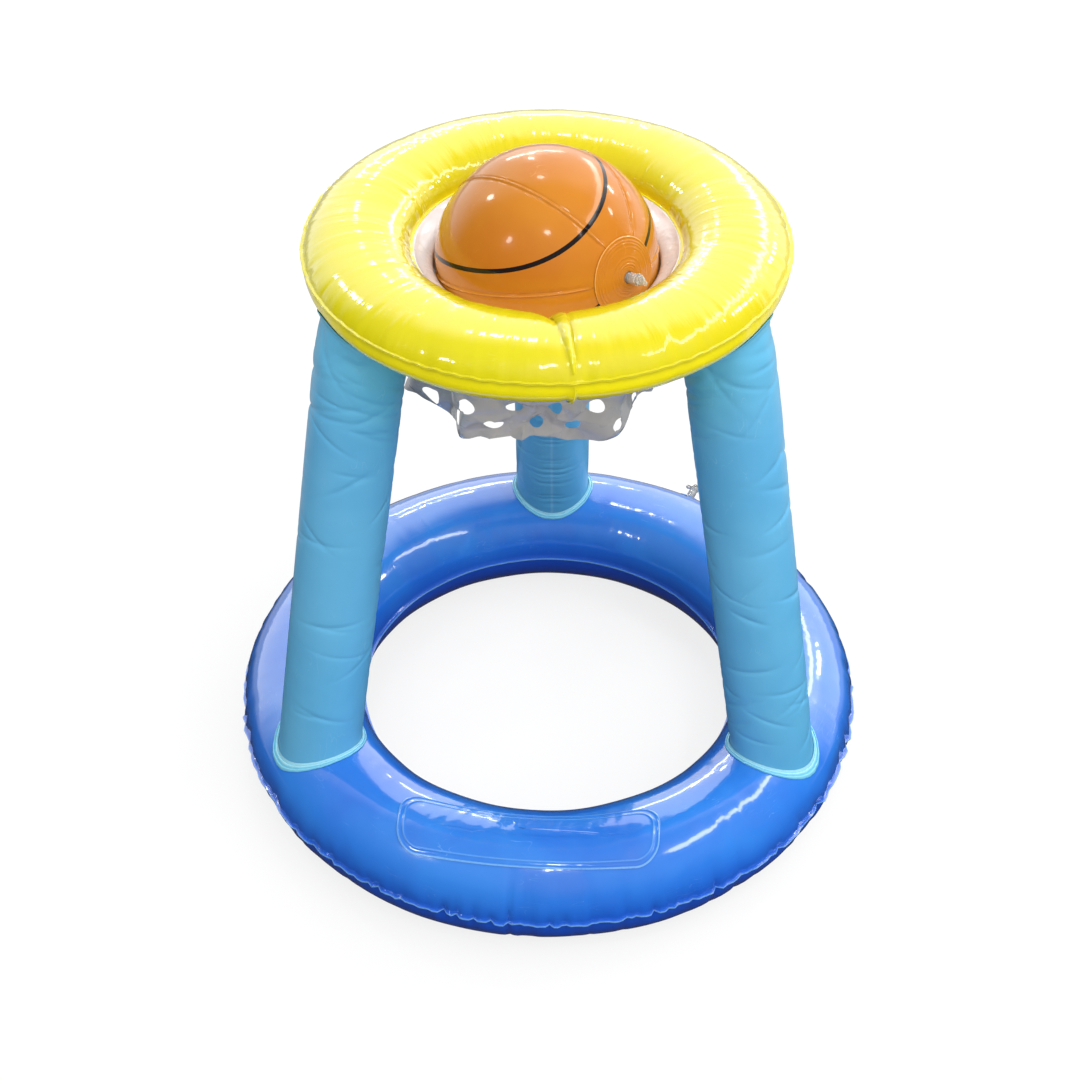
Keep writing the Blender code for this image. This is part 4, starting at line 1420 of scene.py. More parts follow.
@dataclass
class Leg:
    """One inflated leg with its weld collars on the base ring and beneath the hoop."""

    name: str
    azimuth: float
    base: InflatedRing
    hoop: InflatedRing
    leg_material: Material
    collar_material: Material
    seed: int
    diameter: float = 0.084
    foot_depth: float = 0.084
    head_depth: float = 0.068
    head_outset: float = 0.007
    shoulder: float = 0.075
    foot_straight: float = 0.05
    foot_collar: Collar = Collar(0.0050, 0.0034, 0.0016, weld=0.55, under=0.0, seed=5)
    # The head collar takes the leg film's painted shade and bounce light at a fixed share.
    head_collar: Collar = Collar(0.0040, 0.0050, 0.0012, weld=0.2, under=0.4, seed=4)

    def __post_init__(self) -> None:
        """Sets up the leg's own frame."""
        azimuth = radians(self.azimuth)
        out, side = level(azimuth), level(azimuth + math.pi / 2)
        foot = out * self.base.radius + UP * self.base.crown_height
        head = out * (self.hoop.radius + self.head_outset) + UP * self.hoop.mid
        axis = (head - foot).normalized()
        self.side, self.axis, self.front = np.array(side), np.array(axis), np.array(side.cross(axis))
        self.foot, self.head = np.array(foot), np.array(head)
        self.length = float(np.dot(self.head - self.foot, self.axis))

    def skin(self, along: Array | float, turn: Array, depth: Array | float, extra: Array | float) -> Array:
        """Points of the tube.

        Args:
            along: Their distances from the foot along the axis.
            turn: Their turns round the tube, from its outward side.
            depth: The tube's radial size there.
            extra: How far they stand off it.

        Returns:
            The points.
        """
        centre = self.foot + np.multiply.outer(along + 0 * turn, self.axis)
        front = np.multiply.outer(np.cos(turn) * (depth / 2 + extra), self.front)
        return centre + front + np.multiply.outer(np.sin(turn) * (self.diameter / 2 + extra), self.side)

    def foot_point(self, turn: Array, extra: Array | float, lift: Array | float) -> Array:
        """Where the tube, grown by extra, meets the base ring, grown by lift."""
        down = self.skin((self.base.mid - self.foot[2]) / self.axis[2], turn, self.foot_depth, extra)
        return self.base.meet(self.skin(self.foot_straight, turn, self.diameter, extra), down, lift)

    def head_point(self, turn: Array, extra: Array | float, lift: Array | float) -> Array:
        """Where the tube, grown by extra, meets the hoop, grown by lift."""
        up = self.skin(self.length, turn, self.head_depth, extra)
        return self.hoop.meet(self.skin(self.length - self.shoulder, turn, self.diameter, extra), up, lift)

    def build(self) -> None:
        """Models the tube and its two collars."""
        self.tube()
        self.collar("foot", self.collar_material, self.foot_point, self.foot_collar)
        self.collar("head", self.leg_material, self.head_point, self.head_collar)

    def tube(self) -> None:
        """Models the tube, from the base ring to the hoop."""
        obj, turn, share = tube_canvas(f"leg_{self.name}_film", 112, (15, 19))
        low, high = self.foot_point(turn, 0, SEAT_LIFT + FILM), self.head_point(turn, 0, CLEARANCE)
        start, end = (low - self.foot) @ self.axis, (high - self.foot) @ self.axis
        along = start + (end - start) * share
        narrow = ease(along, self.length - self.shoulder * 0.8, self.length + 0.004)
        depth = self.diameter + (self.head_depth - self.diameter) * narrow
        points = self.skin(along, turn, depth, self.wrinkles(turn, along, start, end))
        for rim, edge in ((high, ease(share, 0.93, 1.0)), (low, ease(share, 0.05, 0.0))):
            points = points * (1 - edge[:, None]) + rim * edge[:, None]
        move_points(obj, points)
        radius = self.diameter / 2
        weld = 0.35 * ease(np.abs(turn_between(turn, math.pi)) * radius, 0.0022, 0.0006)
        # Painted shade with yellow bounce light near the head, strongest on the side facing the ring's
        # middle.
        under = 0.75 * ease(end - along, 0.11, 0.0) * (0.65 - 0.35 * np.cos(turn))
        mark(obj, around_axis(radius, turn, along + self.seed), weld, under)
        face_away(obj, np.array(self.foot + self.head) / 2)
        thicken(obj, FILM)
        dress(obj, self.leg_material, Slot.LEG, f"leg_{self.name}")

    def wrinkles(self, turn: Array, along: Array, start: Array, end: Array) -> Array:
        """The relief of the leg's film.

        Args:
            turn: The turns of the points round the tube.
            along: Their distances along the axis.
            start: The distance of the foot's rim at each turn.
            end: The distance of the head's rim at each turn.

        Returns:
            The lift of each point, mostly below 0.
        """
        draw = np.random.default_rng(40 + self.seed)
        lift = np.zeros_like(turn)
        radius = self.diameter / 2
        for _ in range(76):
            near_head = draw.random() < 0.55
            reach = draw.exponential(0.05)
            height = (end.max() - 0.012 - reach) if near_head else (start.min() + 0.03 + draw.random() * 0.40)
            centre, slope = draw.uniform(0, FULL_TURN), draw.normal(0, 0.45)
            wide, deep = draw.uniform(0.3, 0.8), draw.uniform(0.0008, 0.0024)
            thin = draw.uniform(0.0014, 0.0030)
            apart = turn_between(turn, centre)
            off = along - height - slope * apart * radius
            lift -= deep * bell(apart, wide) * np.exp(-np.abs(off) / thin)
        from_line = turn_between(turn, math.pi)
        for _ in range(46):
            height = draw.uniform(start.min() + 0.02, end.max() - 0.01)
            deep, thin = draw.uniform(0.0007, 0.0016), draw.uniform(0.0014, 0.0024)
            wide = draw.uniform(0.3, 0.75)
            lift -= deep * bell(from_line, wide) * bell(along - height, thin)
        lift += 0.00045 * bell(from_line * radius, 0.0011) - 0.0010 * bell(from_line * radius, 0.0060)
        fade = ease(end - along, 0.10, 0.0) + 0.5 * ease(along - start, 0.05, 0.0)
        for periods in (3, 4, 5, 7):
            lift += 0.0005 * np.cos(turn * periods + draw.uniform(0, FULL_TURN)) * fade
        return lift - 0.0003

    def collar(self, end: str, material: Material, meeting: Callable[..., Array], kind: Collar) -> None:
        """Models the beaded weld collar at one end.

        Args:
            end: The end's name, foot or head.
            material: The collar's film.
            meeting: Gives the points where the grown tube meets the grown ring.
            kind: The collar's sizes and tones.
        """
        width, height, bead = kind.width, kind.height, kind.bead
        obj, turn, around = torus_canvas(f"{end}_collar_{self.name}_film", 168, 40)
        outline = np.array([
            (0.0, 0.0), (0.5, 0.0), (1.0, 0.0), (1.0, 0.5), (0.96, 0.9), (0.87, 1.1), (0.77, 0.95),
            (0.71, 0.5), (0.65, 0.35), (0.59, 0.55), (0.51, 1.15), (0.40, 1.4), (0.29, 1.25), (0.22, 0.9),
            (0.17, 1.0), (0.14, 1.3),
        ])
        extras = np.append(outline[:, 0] * width, [0.1 * width, 0.06 * width, 0.0, 0.0, 0.0])
        lifts = np.minimum(outline[:, 1] * bead, height)
        lifts = np.append(lifts, [0.72 * height, height, height, 0.4 * height, 0.0])
        steps = np.concatenate([[0], np.cumsum(np.hypot(np.diff(extras), np.diff(lifts)))])
        walked = (around % FULL_TURN) / FULL_TURN * steps[-1]
        extra, lift = np.interp(walked, steps, extras), np.interp(walked, steps, lifts)
        draw = np.random.default_rng(60 + kind.seed + 7 * self.seed)
        uneven = sum(np.cos(turn * draw.integers(9, 30) + draw.uniform(0, FULL_TURN)) for _ in range(4)) / 4
        extra += uneven * 0.0003 * (extra > 0.4 * width)
        move_points(obj, meeting(turn, CLEARANCE + extra, SEAT_LIFT + lift))
        # An even share of painted light and shade over the whole collar.
        mark(obj, points_of(obj), kind.weld * ease(lift / bead, 0.8, 1.3), kind.under)
        merge_doubles(obj)
        shade(obj)
        dress(obj, material, Slot.COLLAR, f"{end}_collar_{self.name}")


# Hoop


@dataclass
class Hoop:
    """The yellow hoop with its gathered cross weld."""

    material: Material
    net_gap: float
    legs: tuple[float, ...]
    inner_diameter: float = 0.244
    tube_width: float = 0.098
    cross_azimuth: float = -84.0
    cross_end: float = 12.0
    ring: InflatedRing = field(init=False)

    def __post_init__(self) -> None:
        """Sets up the ring's section and relief."""
        self.ring = InflatedRing(
            outer_diameter=self.inner_diameter + 2 * self.tube_width,
            tube_width=self.tube_width,
            tube_height=0.062,
            crown_height=0.648,
            foot_width=0.0,
            puckers=(
                Puckers(31, (0.011, 0.026), (0.0003, 0.0011), (0.0018, 0.0034), (10, 40), 0.22, 75),
                Puckers(32, (0.045, 0.110), (0.0006, 0.0013), (0.0026, 0.0050), (50, 95)),
            ),
            inner_puckers=(
                Puckers(33, (0.010, 0.022), (0.0001, 0.0004), (0.0014, 0.0030), (20, 70)),
                Puckers(34, (0.060, 0.150), (0.0004, 0.0008), (0.0022, 0.0044), (60, 110)),
            ),
            wave_seed=50,
            wave=0.0008,
            seam_wave=0.0007,
            ripple=0.00010,
            seam_angle=14.0,
            # Painted light on the hoop's lower skin fades in from about the outer seam.
            under_span=(0.3, -0.1),
            calm=tuple((azimuth, 0.27) for azimuth in self.legs),
            calm_side=-1,
            pleat=Pleat(self.cross_azimuth),
        )

    def build(self) -> None:
        """Models the two skins and the two strips of the cross weld."""
        looks = {"lip_tone": 0.3, "front": self.cross_azimuth}
        skins = RingSkins("hoop", self.ring, self.material, Slot.HOOP, self.net_gap, HOOP_VALVE, 42, **looks)
        for half in Half:
            skins.shell(half)
            self.cross_strip(half)

    def cross_strip(self, half: Half) -> None:
        """Models the raised edge of the cross weld on one skin.

        Args:
            half: The skin it lies on.
        """
        obj, turn, share = tube_canvas(f"hoop_cross_strip_{half.name.lower()}_film", 24, (9, 11))
        ring = self.ring
        start = radians(self.cross_end)
        outer, inner = ring.seam + half.value * start, half.value * (math.pi - start)
        angle = outer + (inner - outer) * share
        way = np.abs(angle) / math.pi
        taper = 0.25 + 0.75 * ease(np.minimum(share, 1 - share), 0.0, 0.12)
        across = ring.pleat.shift(way) + 0.40 * ring.pleat.width(way) * np.cos(turn)
        across += 0.0003 * np.sin(share * 23)
        azimuth = radians(self.cross_azimuth) + across / (ring.radius + ring.half_width * np.cos(angle))
        points = ring.surface(azimuth, angle, CLEARANCE + 0.0002 * (1 + np.sin(turn)) * taper)
        move_points(obj, points)
        # The strip takes the skin's painted light on its lower part.
        mark(obj, points, np.full(len(points), 0.1), ease(np.sin(angle), *ring.under_span))
        close_ends(obj)
        shade(obj)
        dress(obj, self.material, Slot.HOOP, f"hoop_cross_seam_{half.name.lower()}")

    def notch_shift(self, azimuth: Array) -> Array:
        """How far the inner seam is drawn outwards at the cross weld."""
        across = self.ring.pleat.across(azimuth, 1.0, self.inner_diameter / 2)
        return self.ring.pleat.notch * np.exp(-np.abs(across) / self.ring.pleat.notch_width)


# Net


@dataclass
class NetSkirt:
    """The punched white skirt, gathered into folds towards its hem."""

    material: Material
    hoop: Hoop
    ball_radius: float
    ball_centre: Vector
    ball_top_radius: float
    film: float = 0.0004
    length: float = 0.163
    top_margin: float = 0.034
    hem_margin: float = 0.007
    hem_inset: float = 0.029
    folds: int = 7
    fold_depth: float = 0.022
    fold_start: float = 0.012
    columns: int = 17
    rows: int = 5
    hole_diameter: float = 0.0168
    side_steps: int = 12
    cell_rings: int = 5
    crumple: float = 0.026
    slack: float = 0.010
    bulge: float = 0.026
    bulge_azimuth: float = -172.0
    rear_drop: float = 0.014
    seed: int = 70

    def __post_init__(self) -> None:
        """Finds the line that the film follows from the seam over the ball to the hem."""
        ring = self.hoop.ring
        self.least = self.ball_top_radius + CLEARANCE + self.film / 2
        self.top = np.array([ring.radius - ring.half_width - SEAM_LIP - CLEARANCE - self.film / 2, ring.mid])
        reach = self.top - np.array([0, self.ball_centre.z])
        turn = math.atan2(reach[1], reach[0]) - math.acos(self.least / np.hypot(*reach))
        self.seat = np.array([math.cos(turn) * self.least, self.ball_centre.z + math.sin(turn) * self.least])
        self.seat_depth = float(np.hypot(*(self.seat - self.top)))
        hem_radius = self.ball_radius - self.hem_inset
        drop = math.sqrt((self.length - self.seat_depth) ** 2 - (self.seat[0] - hem_radius) ** 2)
        self.hem = np.array([hem_radius, self.seat[1] - drop])
        self.row_pitch = (self.length - self.top_margin - self.hem_margin) / self.rows
        self.column_pitch = FULL_TURN * float(self.top[0]) / self.columns

    def build(self) -> None:
        """Models the skirt."""
        obj = self.flat_film()
        flat = points_of(obj)
        depth = flat[:, 1]
        move_points(obj, self.hang(flat[:, 0] / self.column_pitch, depth))
        # Painted shade grows down the skirt, standing in for the hoop's shade; the weld tone marks the hem.
        mark(obj, points_of(obj), 0.4 * ease(self.length - depth, 0.0035, 0.0015), ease(depth, 0.030, 0.060))
        merge_doubles(obj)
        face_away(obj, face_centres(obj) * (0, 0, 1))
        thicken(obj, self.film, 0.0)
        shade(obj, 50)
        dress(obj, self.material, Slot.NET, "net_skirt")

    def flat_film(self) -> Object:
        """Cuts the film flat: punched cells in staggered rows, a plain margin and a hem.

        Returns:
            The flat film, with its width along X and its depth along Y.
        """
        obj = self.cell()
        across, down = (self.column_pitch, 0, 0), (self.column_pitch / 2, self.row_pitch, 0)
        for count, offset in ((self.columns, across), (self.rows, down)):
            choose(obj)
            bpy.ops.object.modifier_add(type="ARRAY")
            row = obj.modifiers[-1]
            row.count = count
            row.use_relative_offset = False
            row.use_constant_offset = True
            row.constant_offset_displace = offset
            row.use_merge_vertices = True
            row.merge_threshold = 0.0001
            bpy.ops.object.modifier_apply(modifier=row.name)
        first, last = self.top_margin, self.length - self.hem_margin
        for border, end, steps in ((first, -SEAM_LIP, 16), (last, self.length, 4)):
            with editing(obj) as bm:
                edges = [edge for edge in bm.edges if edge.is_boundary]
                pick(obj, edges, lambda edge: abs(edge_middle(edge).y - border) < MERGE * 5)
                for _ in range(steps):
                    step = (end - border) / steps
                    bpy.ops.mesh.extrude_edges_move(TRANSFORM_OT_translate={"value": (0, step, 0)})
        return obj

    def cell(self) -> Object:
        """Cuts one cell: a rectangle of film round a punched hole.

        Returns:
            The cell, in its place in the first row.
        """
        around, radius = 4 * self.side_steps, self.hole_diameter / 2
        sizes = {"vertices": around, "radius": radius, "fill_type": "NOTHING"}
        obj = add(bpy.ops.mesh.primitive_circle_add, "net_skirt_film", **sizes)
        with editing(obj):
            bpy.ops.mesh.select_all(action="SELECT")
            for ring in range(self.cell_rings):
                extrude_ring((ring + 2) / (ring + 1))
        x, y, _ = points_of(obj).T
        share = ((np.round(np.hypot(x, y) / radius) - 1) / self.cell_rings) ** 1.15
        phase = np.arctan2(y, x)
        walked = (phase / FULL_TURN * around + self.side_steps / 2) % around
        side, step = np.divmod(np.round(walked, 6), self.side_steps)
        run = step / self.side_steps * 2 - 1
        border_x = np.select([side == 0, side == 1, side == 2], [1, -run, -1], run) * self.column_pitch / 2
        border_y = np.select([side == 0, side == 1, side == 2], [run, 1, -run], -1) * self.row_pitch / 2
        hole, border = around_axis(radius, phase, 0 * x), np.stack([border_x, border_y, 0 * x], axis=1)
        points = hole + (border - hole) * share[:, None]
        move_points(obj, points + (self.column_pitch / 2, self.top_margin + self.row_pitch / 2, 0))
        return obj

    def facets(self, turn: Array, depth: Array, across: int, pitch: float, step: int) -> Array:
        """The uneven facets of crumpled film.

        Args:
            turn: The points' turns, in columns.
            depth: Their depths.
            across: The facets round the skirt.
            pitch: Their size down the skirt.
            step: Which of the skirt's draws gives their heights.

        Returns:
            A height between 0 and 1 at each point, straight within each facet.
        """
        seed = self.seed + step
        heights = np.random.default_rng(seed).random((across, 64))
        u = (turn / self.columns % 1) * across + 0.35 * np.sin(depth * 70 + seed)
        v = depth / pitch + 3 + 0.30 * np.sin(turn * 1.9 + seed)
        column, row = np.floor(u).astype(int), np.floor(v).astype(int)
        along, down = u - column, v - row
        flip = (column + row) % 2 == 0
        along = np.where(flip, 1 - along, along)
        near, far = np.where(flip, column + 1, column) % across, np.where(flip, column, column + 1) % across
        low_near, low_far = heights[near, row], heights[far, row]
        high_near, high_far = heights[near, row + 1], heights[far, row + 1]
        first = low_near + (low_far - low_near) * along + (high_far - low_far) * down
        second = low_near + (high_near - low_near) * down + (high_far - high_near) * along
        return np.where(along > down, first, second)

    def hang(self, turn: Array, depth: Array) -> Array:
        """Hangs the flat film in the hoop.

        Args:
            turn: The points' turns, in columns.
            depth: Their depths along the film; above the seam they are below 0.

        Returns:
            The points.
        """
        azimuth = turn * FULL_TURN / self.columns
        above = np.clip(depth / self.seat_depth, 0, 1)
        below = np.clip((depth - self.seat_depth) / (self.length - self.seat_depth), 0, 1)
        line = self.top + np.multiply.outer(above, self.seat - self.top)
        radius, height = (line + np.multiply.outer(below, self.hem - self.seat)).T
        share = np.clip((depth - self.fold_start) / (self.length - self.fold_start), 0, 1)
        draw = np.random.default_rng(self.seed)
        wander = sum(0.16 * np.cos(azimuth * k + draw.uniform(0, FULL_TURN) + 3 * below) for k in (2, 3, 5))
        crest = (1 + np.cos(self.folds * azimuth + math.pi / 2 * (1 - np.cos(azimuth)) + 2.2 * wander)) / 2
        fold = self.fold_depth * share * crest**1.2
        loose = ease(depth, 0.018, 0.085)
        broad, small = self.facets(turn, depth, 19, 0.030, 1), self.facets(turn, depth, 47, 0.015, 2)
        crumple = 0.65 * broad + 0.50 * small
        out = fold * (1 - 0.25 * loose) + self.crumple * loose * crumple
        aside = turn_between(azimuth, radians(self.bulge_azimuth))
        out += self.bulge * bell(aside, 0.42) * ease(depth, 0.05, 0.12)
        dip = 0.020 * below * (self.facets(turn, depth, 15, 0.2, 3) - 0.5)
        for place in (148.0, 34.0):
            dip += self.rear_drop * bell(turn_between(azimuth, radians(place)), 0.5)
        radius = radius + out + self.hoop.notch_shift(azimuth) * ease(depth, 0.02, 0.0)
        radius = radius + np.where(depth < 0, -depth, 0)
        radius -= self.slack * ease(depth, 0.0, 0.017) * ease(depth, 0.080, 0.035)
        height = height - np.maximum(dip, -0.008) * below
        return self.clear_of_neighbours(around_axis(radius, azimuth, height), depth)

    def clear_of_neighbours(self, points: Array, depth: Array) -> Array:
        """Keeps the film off the ball and off the hoop's skin.

        Args:
            points: The film's points.
            depth: Their depths.

        Returns:
            The points, pushed out of the ball and in from the hoop where they were too near.
        """
        off = points - np.array(self.ball_centre)
        distance = np.linalg.norm(off, axis=1)[:, None]
        near_ball = np.array(self.ball_centre) + off * (self.least / distance)
        points = np.where(distance < self.least, near_ball, points)
        ring = self.hoop.ring
        up = np.clip((points[:, 2] - ring.mid) / ring.half_height, -1, 1)
        room = ring.radius - ring.half_width * np.sqrt(1 - up**2) - 0.0012
        hung = (depth > 0.006) & (np.abs(up) < 1)
        radius = np.hypot(points[:, 0], points[:, 1])
        points[:, :2] *= np.where(hung, np.minimum(1, room / radius), 1)[:, None]
        return points


# Ball


@dataclass
class Ball:
    """The orange ball: six gores and a round cap over their ends at each pole."""

    material: Material
    centre: Vector
    radius: float
    pole_azimuth: float = -43.4
    pole_elevation: float = 14.5
    seam_phase: float = 23.4
    gores: int = 6
    gore_end: float = 15.0
    cap_angle: float = 20.0
    bore_radius: float = 0.0052
    line_terms: tuple[float, ...] = (57.93, -6.07, -4.97, -3.66, 2.18)
    circle_phase: float = 113.4

    def __post_init__(self) -> None:
        """Sets up the ball's frame, with its poles along Z."""
        azimuth, elevation = radians(self.pole_azimuth), radians(self.pole_elevation)
        pole = level(azimuth) * math.cos(elevation) + UP * math.sin(elevation)
        self.frame = frame_at(self.centre, pole, UP)

    def build(self) -> None:
        """Models the gores and the caps."""
        first = self.gore_sheet()
        for number in range(self.gores):
            phase = radians(self.seam_phase) + (number + 0.5) * FULL_TURN / self.gores
            gore = first
            if number + 1 < self.gores:
                gore = first.copy()
                gore.data = first.data.copy()
                bpy.context.scene.collection.objects.link(gore)
            gore.name = gore.data.name = f"ball_gore_{number + 1}_film"
            gore.data.transform(Matrix.Rotation(phase, 4, "Z"))
            self.finish(gore, f"ball_gore_{number + 1}")
        self.cap("ball_valve_cap", True)
        self.cap("ball_far_cap", False)

    def finish(self, obj: Object, node: str) -> None:
        """Marks a piece's printed lines and its painted bounce light, puts it in its place and dresses it.

        Args:
            obj: The piece, round the origin with the poles along Z.
            node: The CAD node that it replaces.
        """
        points = points_of(obj)
        store(obj, INK, self.line_distances(points) if "gore" in node else np.full_like(points, 1.0))
        store(obj, PLACE, points)
        obj.data.transform(self.frame)
        # Painted bounce light: the ball turns paler and yellower towards its bottom.
        store(obj, PAINTED_LIGHT, ease(points_of(obj)[:, 2] - self.centre.z, 0.35 * self.radius, -0.15 * self.radius))
        thicken(obj, FILM)
        dress(obj, self.material, Slot.BALL, node, body=Body.BALL.value)

    def gore_sheet(self) -> Object:
        """Models one gore round phase 0, with the raised cords of its two seams.

        Returns:
            The gore's sheet.
        """
        sizes = {"x_subdivisions": 44, "y_subdivisions": 120, "size": 2}
        obj = add(bpy.ops.mesh.primitive_grid_add, "ball_gore_sheet", **sizes)
        x, y, _ = points_of(obj).T
        half = math.pi / self.gores
        polar = math.pi / 2 - y * (math.pi / 2 - radians(self.gore_end))
        edge = np.interp(1 - np.abs(x), [0, 9 / 22, 1], [0, 0.085, 1])
        ring = self.radius * np.sin(polar)
        gap = CLEARANCE / 2 / ring
        phase = np.clip(np.sign(x) * (1 - edge) * half, -half + gap, half - gap)
        off_seam = (half - np.abs(phase)) * ring
        calm = ease(np.abs(polar - math.pi / 2), radians(70), radians(64))
        pucker = 0.5 + 0.5 * np.sin(polar * 61 + 1.7 * np.sin(polar * 17))
        cord = (0.00065 + 0.00015 * pucker) * bell(off_seam, 0.00065)
        trough = -0.0008 * bell(off_seam - 0.0021, 0.0011) * (0.6 + 0.4 * pucker)
        flat = -0.0010 * ease(off_seam, 0.030, 0.0)
        radius = self.radius + (cord + trough + flat) * calm - 0.0002 * (1 - calm)
        move_points(obj, around_axis(radius * np.sin(polar), phase, radius * np.cos(polar)))
        store(obj, WELD, 0.35 * ease(off_seam, 0.0009, 0.0003) * calm)
        face_away(obj, np.zeros(3))
        return obj

    def cap(self, node: str, with_valve: bool) -> None:
        """Models a cap with its pressed rings.

        Args:
            node: The CAD node that it replaces.
            with_valve: Whether it holds the valve.
        """
        obj, phase, inwards = disc_canvas(f"{node}_film", 128, 64, with_valve)
        rim = radians(self.cap_angle) * self.radius
        start = self.bore_radius if with_valve else 0.0
        off_axis = rim + (start - rim) * inwards
        rings = [(rim - 0.0010, 0.00055), (rim - 0.0042, 0.0005)]
        rings += [(rim - 0.0066, 0.0004), (rim - 0.0098, 0.0003)]
        lift = CLEARANCE + FILM + np.zeros_like(phase)
        if with_valve:
            rings += [(0.0175, 0.0004)] + [(place, 0.0005) for place in (0.0140, 0.0114, 0.0090, 0.0070)]
            lift += 0.0006 * ease(off_axis, 0.0145, 0.0115)
        for place, rise in rings:
            lift += rise * (1.0 if with_valve else 0.6) * bell(off_axis - place, 0.0007)
        polar, radius = off_axis / self.radius, self.radius + lift
        flip = 1 if with_valve else -1
        turn = flip * (phase + radians(self.seam_phase))
        move_points(obj, around_axis(radius * np.sin(polar), turn, flip * radius * np.cos(polar)))
        store(obj, WELD, 0.8 * ease(rim - off_axis, 0.0012, 0.0003))
        face_away(obj, np.zeros(3))
        self.finish(obj, node)

    def line_distances(self, points: Array) -> Array:
        """The distances of points on the ball from its printed lines.

        Args:
            points: The points, with the poles along Z.

        Returns:
            For each, its signed distances from the circle and from the two curves.
        """
        unit = points / np.linalg.norm(points, axis=1)[:, None]
        circle = radians(self.circle_phase)
        found = [unit @ np.array([-math.sin(circle), math.cos(circle), 0.0]) * self.radius]
        even, cos_1, sin_1, cos_2, sin_2 = np.radians(self.line_terms)
        for turn in (0.0, math.pi):
            phase = radians(self.seam_phase) + turn
            middle, side = np.array(level(phase)), np.array(level(phase + math.pi / 2))
            apart = np.arccos(np.clip(unit @ middle, -1, 1))
            way = np.arctan2(unit[:, 2], unit @ side)
            line = even + cos_1 * np.cos(way) + sin_1 * np.sin(way)
            line += cos_2 * np.cos(2 * way) + sin_2 * np.sin(2 * way)
            found.append((apart - line) * self.radius)
        return np.stack(found, axis=1)

    def valve_place(self) -> Matrix:
        """The frame of the ball's valve."""
        turned = Matrix.Rotation(radians(225), 4, "Z")
        return self.frame @ Matrix.Translation((0, 0, self.radius)) @ turned


# Valves


